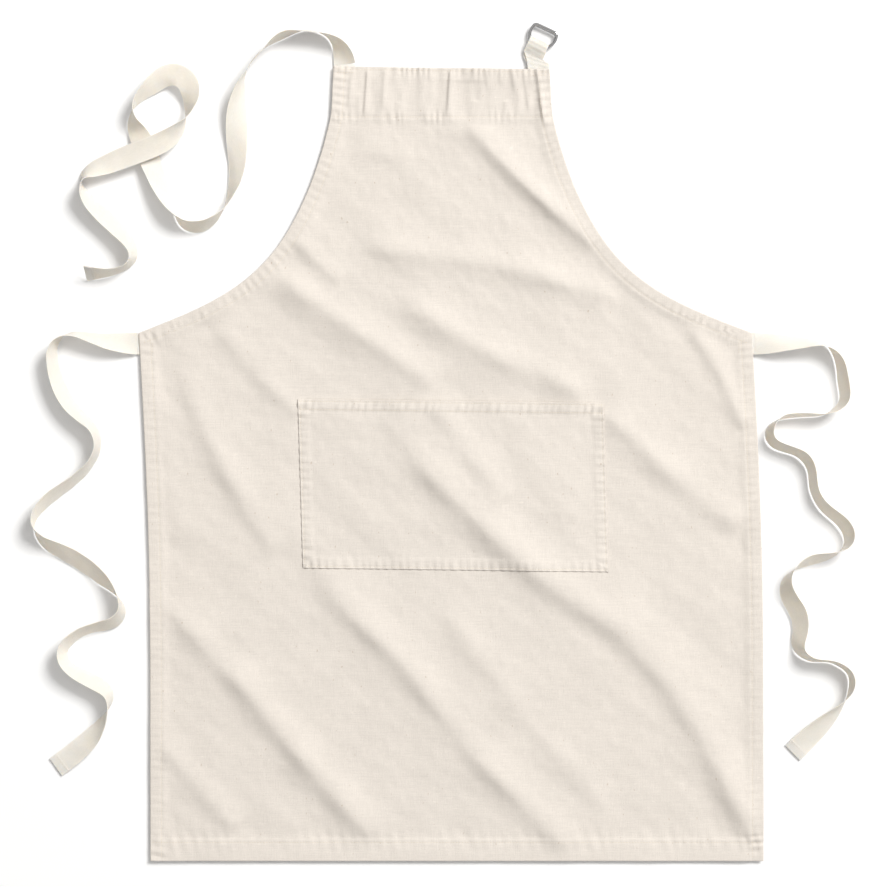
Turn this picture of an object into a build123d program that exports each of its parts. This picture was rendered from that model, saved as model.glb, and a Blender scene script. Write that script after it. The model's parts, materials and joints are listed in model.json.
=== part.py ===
from build123d import *
from math import radians, sin, cos, tan, tanh
import os

# Artist smock apron, lying flat on its back with its strap and ties loose beside it.
# Millimetres. The origin is on the surface that it lies on, at the middle of its plan.
# +Y points from the hem to the neck, +Z up from the surface, +X across the front.

# ---- Cloth and tape ----
cloth = 0.6  # thickness of the canvas, and of the tape
hem_ply = 2 * cloth  # a hem is cloth turned under twice
tape_width = 24.0
thread_width = 0.8
thread_height = 0.35

# ---- Apron outline ----
hem_y = -469.0  # the foot
bib_y = 418.8  # the middle of the bib's top edge
bib_tilt = 0.016  # the top edge drops this much per millimetre towards +X
bib_half = 121.0
skirt_half = 343.0
waist_y = 122.0  # where the armholes end and the straight sides start
# The armhole's curve, as half-width and height
armhole = [(123.5, 367), (132, 333), (155, 270), (194.5, 207), (232, 174), (281, 147), (skirt_half, waist_y)]
side_heights = [waist_y, 0, -150, -300, hem_y]
# The cloth doesn't lie square: its middle line drifts to -X from the foot to the bib.
drift_mean = -2.7
drift_reach = 8.7
drift_y = 40.0
drift_length = 150.0

# ---- Hems and seams ----
side_hem = 14.5
bottom_hem_depth = 23.0
facing_depth = 57.0
hem_split_y = 104.0  # a side's hem starts here, below the end of the armhole's hem
seam_back = 2.0  # a seam lies this far from the hem's inner edge
top_seam = 3.4  # from the bib's top edge to its first row of stitches
second_seam = 7.0  # to the short second row that holds each tape there

# ---- Pocket ----
pocket_width = 342.0
pocket_depth = 189.0
pocket_middle = (-1.2, 45.7)  # the middle of its mouth
pocket_lean = 0.03
pocket_tilt = 0.0125
pocket_gap = 5.1  # clear height inside, under the mouth's hem
pocket_lip = 5.0  # sewn flat on the panel
pocket_slope = 15.0  # from the lip up to the pocket's front
mouth_hem_depth = 12.0

# ---- D-rings and the tab that holds them ----
wire = 3.0
ring_bow = 15.0  # radius of the wire's centre line round the bow
ring_bar = 7.5  # from the bow's centre to the straight bar
ring_corner = 4.0
ring_turn = 25.0  # the rings point this many degrees clockwise of +Y
tab_crease = (90.5, 430.9)  # where the tab bends towards the rings
bow_from_crease = 11.2
loop_start = -9.5  # the loop's two plies part here, measured from the lower ring's bow
loop_fold = 8.5  # the loop's fold
loop_width = 19.0
ring_clear = 0.15
ring_slip = (0.5, 1.4)  # the upper ring lies this far across and out from the lower one

# ---- Sewn-in ends ----
# Each is measured from where the tape's free length starts, about 2 mm outside the cloth.
strap_sewn = 42.0
tie_sewn = 21.0
tab_sewn = 20.0
end_hem = 11.0  # the turned end of a strap or tie

# ---- Free tapes: the points that each one's middle line goes by, from its sewn end to its free end ----
# A tape stands on its edge over much of its way, so its middle is up to half its width off the surface.
strap_route = [
    (-120, 423, 0.9), (-120, 438, 0.9), (-135, 454, 10), (-161, 461, 13), (-189, 456, 14), (-212, 437, 14),
    (-231, 414, 13), (-239, 385, 10), (-241, 349, 6), (-239, 312, 7), (-245, 280, 11), (-257, 252, 12),
    (-282, 237, 10), (-305, 244, 11), (-320, 272, 9), (-333, 305, 6), (-346, 337, 6.5), (-360, 363, 11),
    (-353, 384, 12), (-336, 397, 10), (-319, 411, 11), (-303, 411, 12), (-292, 400, 12.5),
    (-290, 385, 13), (-295, 358, 14), (-315, 336, 17.5), (-349, 323, 17.5), (-385, 310, 11),
    (-417, 299, 11), (-412, 274, 11), (-385, 249, 9.5), (-360, 226, 11.4), (-351, 202, 12),
    (-380, 187, 9), (-409, 189, 9),
]
left_tie_route = [
    (-352, 110, 0.9), (-377, 110, 0.9), (-407, 118, 10), (-430, 124, 12.3), (-448, 109, 12),
    (-446, 84, 11), (-436, 53, 10), (-418, 30, 11), (-398, 15, 12), (-394, -6, 12.3), (-405, -28, 12),
    (-431, -50, 11.4), (-455, -66, 11.2), (-473, -90, 12.3), (-457, -114, 10.4), (-421, -129, 7.7),
    (-389, -153, 9.5), (-372, -171, 12), (-365, -191, 12), (-378, -204, 12), (-398, -206, 11.4),
    (-418, -213, 11.4),
    (-439, -232, 11.6), (-430, -253, 11.6), (-399, -268, 10.4), (-380, -280, 11.6), (-385, -307, 8),
    (-412, -342, 0.6), (-443, -364, 0.6),
]
right_tie_route = [
    (339, 110, 0.9), (365, 110, 0.9), (397, 112, 10), (423, 109, 12.3), (435, 88, 12), (437, 66, 11.4),
    (443, 44, 11.6), (419, 28, 12.3), (389, 31, 12.2), (368, 29, 11.8), (353, 17, 11.6), (356, -2, 11.6),
    (376, -7, 11.8), (396, -14, 12), (404, -34, 12), (403, -56, 11.8), (419, -77, 11.6), (441, -90, 11.4),
    (448, -112, 11.4), (431, -127, 11.6), (400, -131, 10.4), (377, -144, 11.6), (372, -168, 9.5),
    (388, -188, 8.6), (392, -208, 10), (383, -232, 11.4), (403, -246, 12.2), (427, -243, 12.3),
    (450, -258, 12.2), (448, -280, 12), (431, -299, 10.8), (405, -325, 0.6), (382, -348, 0.6),
]

panel_z = hem_ply
front_z = panel_z + cloth
anchor_z = cloth


def drift(y):
    """How far the cloth's middle line lies from x = 0 at a height."""
    return drift_mean - drift_reach * tanh((y - drift_y) / drift_length)


def edge(side, half, y):
    """A point of the outline: side is -1 or 1, half the half-width there."""
    return (side * half + drift(y), y)


def top_y(x):
    """The height of the bib's top edge."""
    return bib_y - bib_tilt * (x - drift(bib_y))


bib_left = -bib_half + drift(bib_y)
bib_right = bib_half + drift(bib_y)

with BuildSketch() as outline:
    with BuildLine():
        left_top = (bib_left, top_y(bib_left))
        right_top = (bib_right, top_y(bib_right))
        Line(left_top, right_top)
        for side, corner in ((-1, left_top), (1, right_top)):
            Line(corner, edge(side, *armhole[0]))
            Spline(*[edge(side, half, y) for half, y in armhole])
            Spline(*[edge(side, skirt_half, y) for y in side_heights])
        Line(edge(-1, skirt_half, hem_y), edge(1, skirt_half, hem_y))
    make_face()


def inside_points(side, points, distance):
    """Points of the outline, which run from the bib to the foot, moved in from its edge."""
    places = [Vector(*edge(side, half, y)) for half, y in points]
    curve = Edge.make_spline(places)
    moved = []
    for place in places:
        heading = curve.tangent_at(place)
        moved.append(place + Vector(heading.Y, -heading.X) * side * distance)
    return moved


def strip(side, points, near, far):
    """The strip of cloth along a stretch of the outline, between two distances in from its edge."""
    with BuildSketch() as area:
        with BuildLine():
            near_line = Spline(*inside_points(side, points, near))
            far_line = Spline(*inside_points(side, points, far))
            Line(near_line @ 0, far_line @ 0)
            Line(near_line @ 1, far_line @ 1)
        make_face()
    return area.sketch


facing_y = bib_y - facing_depth
bottom_top_y = hem_y + bottom_hem_depth
seam_near = side_hem - seam_back - thread_width / 2
seam_far = side_hem - seam_back + thread_width / 2
side_points = [(skirt_half, y) for y in (hem_split_y, 0, -150, -300, bottom_top_y + 1)]
armhole_seam_points = [(bib_half + 0.8, bib_y - second_seam - 4), *armhole]
left_armhole_strip = strip(-1, armhole, 0, side_hem)
right_armhole_strip = strip(1, armhole, 0, side_hem)
left_side_strip = strip(-1, side_points, 0, side_hem)
right_side_strip = strip(1, side_points, 0, side_hem)
left_armhole_seam = strip(-1, armhole_seam_points, seam_near, seam_far)
right_armhole_seam = strip(1, armhole_seam_points, seam_near, seam_far)
left_side_seam = strip(-1, side_points, seam_near, seam_far)
right_side_seam = strip(1, side_points, seam_near, seam_far)
big = 1000.0

# ---- Sewn-in tape ends: their places in plan ----
strap_x, strap_end_y = strap_route[0][:2]
left_tie_x, tie_y = left_tie_route[0][:2]
right_tie_x = right_tie_route[0][0]
tab_x = bib_right - tape_width / 2 - 0.4
tab_top = top_y(tab_x)

with BuildSketch(Plane.XY.offset(anchor_z)) as strap_bed:
    with Locations((strap_x, strap_end_y)):
        Rectangle(tape_width, strap_sewn, align=(Align.CENTER, Align.MAX))

with BuildSketch(Plane.XY.offset(anchor_z)) as left_tie_bed:
    with Locations((left_tie_x, tie_y)):
        Rectangle(tie_sewn, tape_width, align=(Align.MIN, Align.CENTER))

with BuildSketch(Plane.XY.offset(anchor_z)) as right_tie_bed:
    with Locations((right_tie_x, tie_y)):
        Rectangle(tie_sewn, tape_width, align=(Align.MAX, Align.CENTER))

with BuildSketch() as tab_bed:
    with Locations((tab_x, tab_top - 0.4)):
        Rectangle(tape_width, tab_sewn, align=(Align.CENTER, Align.MAX))

# ---- Cloth ----
with BuildPart() as apron_panel:
    with BuildSketch(Plane.XY.offset(panel_z)):
        add(outline.sketch)
    extrude(amount=cloth)

with BuildPart() as bib_facing:
    with BuildSketch():
        add(outline.sketch)
        with Locations((0, facing_y)):
            Rectangle(big, big, align=(Align.CENTER, Align.MIN), mode=Mode.INTERSECT)
    extrude(amount=hem_ply)
    extrude(strap_bed.sketch, amount=cloth, mode=Mode.SUBTRACT)
    with BuildSketch():
        with Locations((tab_x, tab_top)):
            Rectangle(tape_width, 2 * tab_sewn + 0.8)
    extrude(amount=hem_ply, mode=Mode.SUBTRACT)

with BuildPart() as left_armhole_hem:
    with BuildSketch():
        add(left_armhole_strip)
        with Locations((0, facing_y)):
            Rectangle(big, big, align=(Align.CENTER, Align.MIN), mode=Mode.SUBTRACT)
    extrude(amount=hem_ply)
    extrude(left_tie_bed.sketch, amount=cloth, mode=Mode.SUBTRACT)

with BuildPart() as right_armhole_hem:
    with BuildSketch():
        add(right_armhole_strip)
        with Locations((0, facing_y)):
            Rectangle(big, big, align=(Align.CENTER, Align.MIN), mode=Mode.SUBTRACT)
    extrude(amount=hem_ply)
    extrude(right_tie_bed.sketch, amount=cloth, mode=Mode.SUBTRACT)

with BuildPart() as left_side_hem:
    extrude(left_side_strip, amount=hem_ply)
    extrude(left_tie_bed.sketch, amount=cloth, mode=Mode.SUBTRACT)

with BuildPart() as right_side_hem:
    extrude(right_side_strip, amount=hem_ply)
    extrude(right_tie_bed.sketch, amount=cloth, mode=Mode.SUBTRACT)

with BuildPart() as bottom_hem:
    with BuildSketch():
        add(outline.sketch)
        with Locations((0, bottom_top_y)):
            Rectangle(big, big, align=(Align.CENTER, Align.MAX), mode=Mode.INTERSECT)
    extrude(amount=hem_ply)


# ---- Pocket: a patch with its mouth towards the bib, standing open a little ----
def on_pocket(u, v):
    """A point of the pocket in plan: u across from its middle, v down from its mouth."""
    x, y = pocket_middle
    return (x + u + pocket_lean * v, y - v - pocket_tilt * u)


def pocket_outline(inset, top=0.0):
    """The pocket's corners, moved in from its three sewn sides."""
    half = pocket_width / 2 - inset
    deep = pocket_depth - inset
    return [on_pocket(-half, top), on_pocket(-half, deep), on_pocket(half, deep), on_pocket(half, top)]


pocket_inset = pocket_lip + pocket_slope
pocket_under_z = front_z + pocket_gap + cloth
pocket_front_z = pocket_under_z + cloth

# The whole patch, which is then parted into its front and its three sewn edges.
with BuildPart() as pocket_shell:
    with BuildSketch(Plane.XY.offset(front_z)):
        Polygon(*pocket_outline(0), align=None)
    extrude(amount=cloth)
    for inset, low in ((0.0, front_z + cloth), (cloth, front_z)):
        with BuildSketch(Plane.XY.offset(low)):
            Polygon(*pocket_outline(pocket_lip + inset), align=None)
        with BuildSketch(Plane.XY.offset(low + pocket_gap + cloth)):
            Polygon(*pocket_outline(pocket_inset + inset), align=None)
        loft(mode=Mode.ADD if inset == 0 else Mode.SUBTRACT)

half_wide = pocket_width / 2
half_front = half_wide - pocket_inset - cloth
front_deep = pocket_depth - pocket_inset - cloth

with BuildPart() as pocket_panel:
    add(pocket_shell.part)
    with BuildSketch():
        Polygon(*pocket_outline(pocket_inset + cloth), align=None)
    extrude(amount=big / 10, mode=Mode.INTERSECT)

with BuildPart() as pocket_left_edge:
    add(pocket_shell.part)
    with BuildSketch():
        Polygon(on_pocket(-half_wide, 0), on_pocket(-half_wide, pocket_depth),
                on_pocket(-half_front, front_deep), on_pocket(-half_front, 0), align=None)
    extrude(amount=big / 10, mode=Mode.INTERSECT)

with BuildPart() as pocket_right_edge:
    add(pocket_shell.part)
    with BuildSketch():
        Polygon(on_pocket(half_wide, 0), on_pocket(half_wide, pocket_depth),
                on_pocket(half_front, front_deep), on_pocket(half_front, 0), align=None)
    extrude(amount=big / 10, mode=Mode.INTERSECT)

with BuildPart() as pocket_bottom_edge:
    add(pocket_shell.part)
    with BuildSketch():
        Polygon(on_pocket(-half_wide, pocket_depth), on_pocket(half_wide, pocket_depth),
                on_pocket(half_front, front_deep), on_pocket(-half_front, front_deep), align=None)
    extrude(amount=big / 10, mode=Mode.INTERSECT)

with BuildPart() as pocket_mouth_hem:
    with BuildSketch(Plane.XY.offset(pocket_under_z - cloth)):
        Polygon(on_pocket(-half_front + 2, 0), on_pocket(-half_front + 2, mouth_hem_depth),
                on_pocket(half_front - 2, mouth_hem_depth), on_pocket(half_front - 2, 0), align=None)
    extrude(amount=cloth)

# ---- Sewn-in tape ends ----
with BuildPart() as neck_strap_anchor:
    extrude(strap_bed.sketch, amount=cloth)

with BuildPart() as left_tie_anchor:
    extrude(left_tie_bed.sketch, amount=cloth)

with BuildPart() as right_tie_anchor:
    extrude(right_tie_bed.sketch, amount=cloth)

with BuildPart() as ring_tab_anchor:
    extrude(tab_bed.sketch, amount=hem_ply)

# ---- Tab, its loop and the rings ----
turn = radians(ring_turn)
across = (cos(turn), -sin(turn))
out = (sin(turn), cos(turn))


def from_crease(u, v):
    """A point in plan, u across the tab and v out along it from its crease."""
    x, y = tab_crease
    return (x + u * across[0] + v * out[0], y + u * across[1] + v * out[1])


bow_z = cloth + ring_clear + wire / 2
upper_bow_z = bow_z + wire + 0.1
loop_top = upper_bow_z + wire / 2 + ring_clear + cloth
lower_bow = from_crease(0, bow_from_crease)
upper_bow = from_crease(ring_slip[0], bow_from_crease + ring_slip[1])
half_tape = tape_width / 2

with BuildPart() as ring_tab:
    with BuildSketch():
        Polygon((tab_x - half_tape, tab_top + 0.7), (tab_x + half_tape, tab_top + 0.3),
                (tab_x + half_tape - 0.5, tab_top + 6.5),
                from_crease(half_tape, bow_from_crease + loop_start),
                from_crease(-half_tape, bow_from_crease + loop_start),
                (tab_crease[0] - 11.8, tab_crease[1] + 1.5), align=None)
    extrude(amount=hem_ply)

# The loop's section stands on a plane along the tab, with its first axis out and its second up.
loop_plane = Plane(origin=(*lower_bow, 0), x_dir=(*out, 0), z_dir=(*across, 0))
fold_centre = loop_fold - loop_top / 2

with BuildPart() as ring_tab_loop:
    with BuildSketch(loop_plane):
        with BuildLine():
            Polyline((fold_centre, 0), (loop_start, 0), (loop_start, hem_ply), (loop_start + 1, hem_ply),
                     (-2.5, loop_top), (fold_centre, loop_top))
            ThreePointArc((fold_centre, loop_top), (loop_fold, loop_top / 2), (fold_centre, 0))
        make_face()
        with BuildLine():
            Polyline((fold_centre, cloth), (loop_start + 1.5, cloth), (-2.1, loop_top - cloth),
                     (fold_centre, loop_top - cloth))
            ThreePointArc((fold_centre, loop_top - cloth), (loop_fold - cloth, loop_top / 2),
                          (fold_centre, cloth))
        make_face(mode=Mode.SUBTRACT)
    extrude(amount=loop_width / 2, both=True)


def ring_plane(bow, z):
    """The plane a ring lies in, with its origin at the bow's lowest point."""
    return Plane(origin=(*bow, z), x_dir=(*across, 0), z_dir=(0, 0, 1))


bar_half = (ring_bow**2 - ring_bar**2) ** 0.5

with BuildPart() as lower_d_ring:
    with BuildLine(ring_plane(lower_bow, bow_z)) as lower_wire:
        Line((-bar_half, ring_bow + ring_bar), (bar_half, ring_bow + ring_bar))
        ThreePointArc((bar_half, ring_bow + ring_bar), (0, 0), (-bar_half, ring_bow + ring_bar))
        fillet(lower_wire.vertices(), ring_corner)
    with BuildSketch(Plane(origin=lower_wire.line @ 0, z_dir=lower_wire.line % 0)):
        Circle(wire / 2)
    sweep()

with BuildPart() as upper_d_ring:
    with BuildLine(ring_plane(upper_bow, upper_bow_z)) as upper_wire:
        Line((-bar_half, ring_bow + ring_bar), (bar_half, ring_bow + ring_bar))
        ThreePointArc((bar_half, ring_bow + ring_bar), (0, 0), (-bar_half, ring_bow + ring_bar))
        fillet(upper_wire.vertices(), ring_corner)
    with BuildSketch(Plane(origin=upper_wire.line @ 0, z_dir=upper_wire.line % 0)):
        Circle(wire / 2)
    sweep()


# ---- Free tapes ----
def tape_path(route):
    """A tape's middle line: straight runs joined by arcs as large as the runs allow."""
    points = [Vector(*point) for point in route]
    radii = []
    for before, at, after in zip(points, points[1:], points[2:]):
        run_in = at - before
        run_out = after - at
        half_turn = radians(run_in.get_angle(run_out)) / 2
        radii.append(0.45 * min(run_in.length, run_out.length) / tan(half_turn))
    with BuildLine() as line:
        FilletPolyline(*points, radius=radii)
    print("bend radii, mm:", [round(radius) for radius in radii])
    return line.wire()


def section_plane(path):
    """The plane of a tape's section where it leaves its sewn end, with its width level."""
    heading = path % 0
    return Plane(origin=path @ 0, x_dir=(heading.Y, -heading.X, 0), z_dir=heading)


def end_plane(path):
    """The plane on top of a tape's free end, with its first axis along the tape."""
    return Plane(origin=path @ 1 + Vector(0, 0, cloth / 2), x_dir=path % 1, z_dir=(0, 0, 1))


guide_rise = Location((0, 0, 50))  # a second line this far above keeps a tape's width level
strap_path = tape_path(strap_route)
left_tie_path = tape_path(left_tie_route)
right_tie_path = tape_path(right_tie_route)

with BuildPart() as neck_strap:
    with BuildSketch(section_plane(strap_path)):
        Rectangle(tape_width, cloth)
    sweep(path=strap_path, binormal=strap_path.moved(guide_rise))

with BuildPart() as left_waist_tie:
    with BuildSketch(section_plane(left_tie_path)):
        Rectangle(tape_width, cloth)
    sweep(path=left_tie_path, binormal=left_tie_path.moved(guide_rise))

with BuildPart() as right_waist_tie:
    with BuildSketch(section_plane(right_tie_path)):
        Rectangle(tape_width, cloth)
    sweep(path=right_tie_path, binormal=right_tie_path.moved(guide_rise))

with BuildPart() as neck_strap_end_hem:
    with BuildSketch(end_plane(strap_path)):
        Rectangle(end_hem, tape_width, align=(Align.MAX, Align.CENTER))
    extrude(amount=cloth)

with BuildPart() as left_tie_end_hem:
    with BuildSketch(end_plane(left_tie_path)):
        Rectangle(end_hem, tape_width, align=(Align.MAX, Align.CENTER))
    extrude(amount=cloth)

with BuildPart() as right_tie_end_hem:
    with BuildSketch(end_plane(right_tie_path)):
        Rectangle(end_hem, tape_width, align=(Align.MAX, Align.CENTER))
    extrude(amount=cloth)


# ---- Sewing thread: each seam's row of stitches is a raised line on the cloth ----
def thread_run(start, end):
    """The corners of a straight row of stitches."""
    along = Vector(*end) - Vector(*start)
    aside = Vector(-along.Y, along.X).normalized() * (thread_width / 2)
    start = Vector(*start)
    end = Vector(*end)
    return [start - aside, end - aside, end + aside, start + aside]


with BuildPart() as bib_top_stitching:
    with BuildSketch(Plane.XY.offset(front_z)):
        Polygon(*thread_run((bib_left + 3, top_y(bib_left) - top_seam),
                            (bib_right - 3, top_y(bib_right) - top_seam)), align=None)
    extrude(amount=thread_height)

facing_seam_half = 124.0 - side_hem
with BuildPart() as bib_facing_stitching:
    with BuildSketch(Plane.XY.offset(front_z)):
        Polygon(*thread_run(edge(-1, facing_seam_half, facing_y + seam_back),
                            edge(1, facing_seam_half, facing_y + seam_back)), align=None)
    extrude(amount=thread_height)

with BuildPart() as left_armhole_stitching:
    with BuildSketch(Plane.XY.offset(front_z)):
        add(left_armhole_seam)
    extrude(amount=thread_height)

with BuildPart() as right_armhole_stitching:
    with BuildSketch(Plane.XY.offset(front_z)):
        add(right_armhole_seam)
    extrude(amount=thread_height)

with BuildPart() as left_side_stitching:
    with BuildSketch(Plane.XY.offset(front_z)):
        add(left_side_seam)
    extrude(amount=thread_height)

with BuildPart() as right_side_stitching:
    with BuildSketch(Plane.XY.offset(front_z)):
        add(right_side_seam)
    extrude(amount=thread_height)

bottom_seam_y = bottom_top_y - seam_back
with BuildPart() as bottom_hem_stitching:
    with BuildSketch(Plane.XY.offset(front_z)):
        Polygon(*thread_run(edge(-1, skirt_half - 2, bottom_seam_y),
                            edge(1, skirt_half - 2, bottom_seam_y)), align=None)
    extrude(amount=thread_height)

pocket_seam = 2.2  # from the pocket's edge to its row of stitches
with BuildPart() as pocket_edge_stitching:
    with BuildSketch(Plane.XY.offset(front_z + cloth)):
        Polygon(*pocket_outline(pocket_seam - thread_width / 2, top=1), align=None)
        Polygon(*pocket_outline(pocket_seam + thread_width / 2), align=None, mode=Mode.SUBTRACT)
    extrude(amount=thread_height)

mouth_seams = (2.2, mouth_hem_depth - 0.8)
with BuildPart() as pocket_mouth_stitching:
    with BuildSketch(Plane.XY.offset(pocket_front_z)):
        for down in mouth_seams:
            Polygon(*thread_run(on_pocket(-half_front + 1, down), on_pocket(half_front - 1, down)), align=None)
    extrude(amount=thread_height)

tie_seam = tie_sewn - 3.5  # from where a tie's free length starts to the row that holds it
tie_seam_low = tie_y - tape_width / 2 + 1
tie_seam_high = tie_y + 2.5  # it stops below the armhole's seam
with BuildPart() as left_tie_stitching:
    with BuildSketch(Plane.XY.offset(front_z)):
        Polygon(*thread_run((left_tie_x + tie_seam, tie_seam_low),
                            (left_tie_x + tie_seam, tie_seam_high)), align=None)
    extrude(amount=thread_height)

with BuildPart() as right_tie_stitching:
    with BuildSketch(Plane.XY.offset(front_z)):
        Polygon(*thread_run((right_tie_x - tie_seam, tie_seam_low),
                            (right_tie_x - tie_seam, tie_seam_high)), align=None)
    extrude(amount=thread_height)

with BuildPart() as neck_strap_stitching:
    with BuildSketch(Plane.XY.offset(front_z)):
        Polygon(*thread_run((strap_x - 9, top_y(strap_x) - second_seam),
                            (strap_x + 11, top_y(strap_x) - second_seam)), align=None)
    extrude(amount=thread_height)

with BuildPart() as ring_tab_stitching:
    with BuildSketch(Plane.XY.offset(front_z)):
        Polygon(*thread_run((tab_x - 11, tab_top - second_seam),
                            (tab_x + 9, tab_top - second_seam)), align=None)
    extrude(amount=thread_height)

for name, tape, path in (
    ("neck_strap", neck_strap, strap_path),
    ("left_waist_tie", left_waist_tie, left_tie_path),
    ("right_waist_tie", right_waist_tie, right_tie_path),
):
    share = tape.part.volume / (tape_width * cloth * path.length)
    print(f"{name}: {path.length:.0f} mm long, volume {share:.3f} of section times length")

# ---- One STEP for each piece ----
pieces = {
    "apron_panel": apron_panel,
    "bib_facing": bib_facing,
    "left_armhole_hem": left_armhole_hem,
    "right_armhole_hem": right_armhole_hem,
    "left_side_hem": left_side_hem,
    "right_side_hem": right_side_hem,
    "bottom_hem": bottom_hem,
    "pocket_panel": pocket_panel,
    "pocket_mouth_hem": pocket_mouth_hem,
    "pocket_left_edge": pocket_left_edge,
    "pocket_right_edge": pocket_right_edge,
    "pocket_bottom_edge": pocket_bottom_edge,
    "neck_strap": neck_strap,
    "neck_strap_anchor": neck_strap_anchor,
    "neck_strap_end_hem": neck_strap_end_hem,
    "left_waist_tie": left_waist_tie,
    "left_tie_anchor": left_tie_anchor,
    "left_tie_end_hem": left_tie_end_hem,
    "right_waist_tie": right_waist_tie,
    "right_tie_anchor": right_tie_anchor,
    "right_tie_end_hem": right_tie_end_hem,
    "ring_tab_anchor": ring_tab_anchor,
    "ring_tab": ring_tab,
    "ring_tab_loop": ring_tab_loop,
    "lower_d_ring": lower_d_ring,
    "upper_d_ring": upper_d_ring,
    "bib_top_stitching": bib_top_stitching,
    "bib_facing_stitching": bib_facing_stitching,
    "left_armhole_stitching": left_armhole_stitching,
    "right_armhole_stitching": right_armhole_stitching,
    "left_side_stitching": left_side_stitching,
    "right_side_stitching": right_side_stitching,
    "bottom_hem_stitching": bottom_hem_stitching,
    "pocket_edge_stitching": pocket_edge_stitching,
    "pocket_mouth_stitching": pocket_mouth_stitching,
    "left_tie_stitching": left_tie_stitching,
    "right_tie_stitching": right_tie_stitching,
    "neck_strap_stitching": neck_strap_stitching,
    "ring_tab_stitching": ring_tab_stitching,
}
os.makedirs("parts", exist_ok=True)
for name, piece in pieces.items():
    piece.part.label = name
    export_step(piece.part, f"parts/{name}.step")
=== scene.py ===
import json
import math

import bpy
import numpy as np
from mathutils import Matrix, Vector
from mathutils.kdtree import KDTree


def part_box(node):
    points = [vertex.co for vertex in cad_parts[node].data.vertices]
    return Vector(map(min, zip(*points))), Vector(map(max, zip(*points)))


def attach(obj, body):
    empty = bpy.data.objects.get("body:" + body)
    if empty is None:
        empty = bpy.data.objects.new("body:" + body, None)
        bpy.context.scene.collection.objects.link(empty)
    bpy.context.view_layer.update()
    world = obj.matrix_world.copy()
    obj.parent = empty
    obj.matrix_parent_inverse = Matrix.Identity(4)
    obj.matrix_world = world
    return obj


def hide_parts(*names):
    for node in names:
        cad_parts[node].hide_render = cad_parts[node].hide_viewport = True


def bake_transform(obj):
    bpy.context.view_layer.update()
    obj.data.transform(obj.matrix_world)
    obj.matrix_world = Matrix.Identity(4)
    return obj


bl_info = {
    "name": "Artist smock apron",
    "version": (1, 0, 0),
    "blender": (4, 5, 0),
    "location": "View3D > Sidebar > Smock",
    "description": "Canvas apron with a front pocket, waist ties and a neck strap for two D-rings",
    "category": "Object",
}

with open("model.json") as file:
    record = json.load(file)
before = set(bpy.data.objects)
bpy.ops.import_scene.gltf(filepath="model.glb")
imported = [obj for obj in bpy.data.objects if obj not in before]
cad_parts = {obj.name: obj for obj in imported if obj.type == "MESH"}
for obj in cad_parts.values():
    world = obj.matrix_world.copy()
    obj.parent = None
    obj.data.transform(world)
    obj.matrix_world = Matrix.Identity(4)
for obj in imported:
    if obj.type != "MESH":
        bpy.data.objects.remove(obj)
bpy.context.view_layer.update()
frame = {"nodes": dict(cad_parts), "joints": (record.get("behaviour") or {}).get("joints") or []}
mm = 0.001
tau = math.tau


# ---------------------------------------------------------------- lines and fields in plan
def distance_along(line):
    """How far along a line each of its points is."""
    gaps = np.linalg.norm(np.diff(line, axis=0), axis=1)
    return np.concatenate([[0], np.cumsum(gaps)])


def at_distances(line, along, at):
    """The places on a line at those distances along it."""
    return np.stack([np.interp(at, along, line[:, k]) for k in range(line.shape[1])], axis=1)


def evenly(line, step):
    """The line again, with its points a step apart."""
    along = distance_along(line)
    return at_distances(line, along, np.linspace(0, along[-1], max(2, int(along[-1] / step) + 1)))


def unit(vectors):
    """The vectors again, each of length one."""
    return vectors / np.maximum(np.linalg.norm(vectors, axis=-1, keepdims=True), 1e-12)


def at_height(plan, height):
    """Places in plan, raised to their heights."""
    return np.concatenate([plan, height[..., None]], axis=-1)


def softened(line, reach):
    """The line with small corners rounded over a number of its points; its ends stay."""
    pad = min(3 * reach, len(line) - 1)
    before = 2 * line[0] - line[pad:0:-1]
    after = 2 * line[-1] - line[-2:-pad - 2:-1]
    padded = np.concatenate([before, line, after])
    weight = np.exp(-0.5 * (np.arange(-pad, pad + 1) / reach) ** 2)
    weight /= weight.sum()
    columns = [np.convolve(padded[:, k], weight, "valid") for k in range(line.shape[1])]
    return np.stack(columns, axis=1)


def smoothstep(value, low, high):
    """0 below low, 1 above high, and smooth between; high may be the lower one."""
    share = np.clip((value - low) / (high - low), 0, 1)
    return share * share * (3 - 2 * share)


def bell(distance, width):
    """1 at no distance, and falling away smoothly over a width."""
    return np.exp(-(distance / width) ** 2)


def uneven(x, y, size, seed):
    """A smooth uneven field, mostly from -1 to 1, whose bumps are about a size across."""
    draw = np.random.default_rng(seed)
    total = np.zeros(np.broadcast(x, y).shape)
    for _ in range(8):
        angle, phase = draw.uniform(0, tau, 2)
        pace = tau / size * draw.uniform(0.45, 1.25)
        total += np.sin(pace * (x * math.cos(angle) + y * math.sin(angle)) + phase)
    return total / 3


def puckers(run, pitch, wander, size, seed, slant=0.0):
    """Waves from -1 to 1 along a run; their pitch wanders, and slant leans them away from an edge."""
    return np.sin(tau * run / pitch + wander * uneven(run, 0 * run, size, seed) + slant)


def patchy(run, mean, swing, size, seed, low, high):
    """A strength that is uneven along a run, within two limits."""
    return np.clip(mean + swing * uneven(run, 0 * run, size, seed), low, high)


def edge_drop(distance, radius):
    """How far a cloth's front drops as it turns over an edge that is that far off."""
    inside = np.clip(1 - distance / radius, 0, 1)
    return radius * (1 - np.sqrt(np.clip(1 - inside**2, 0, 1)))


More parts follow.
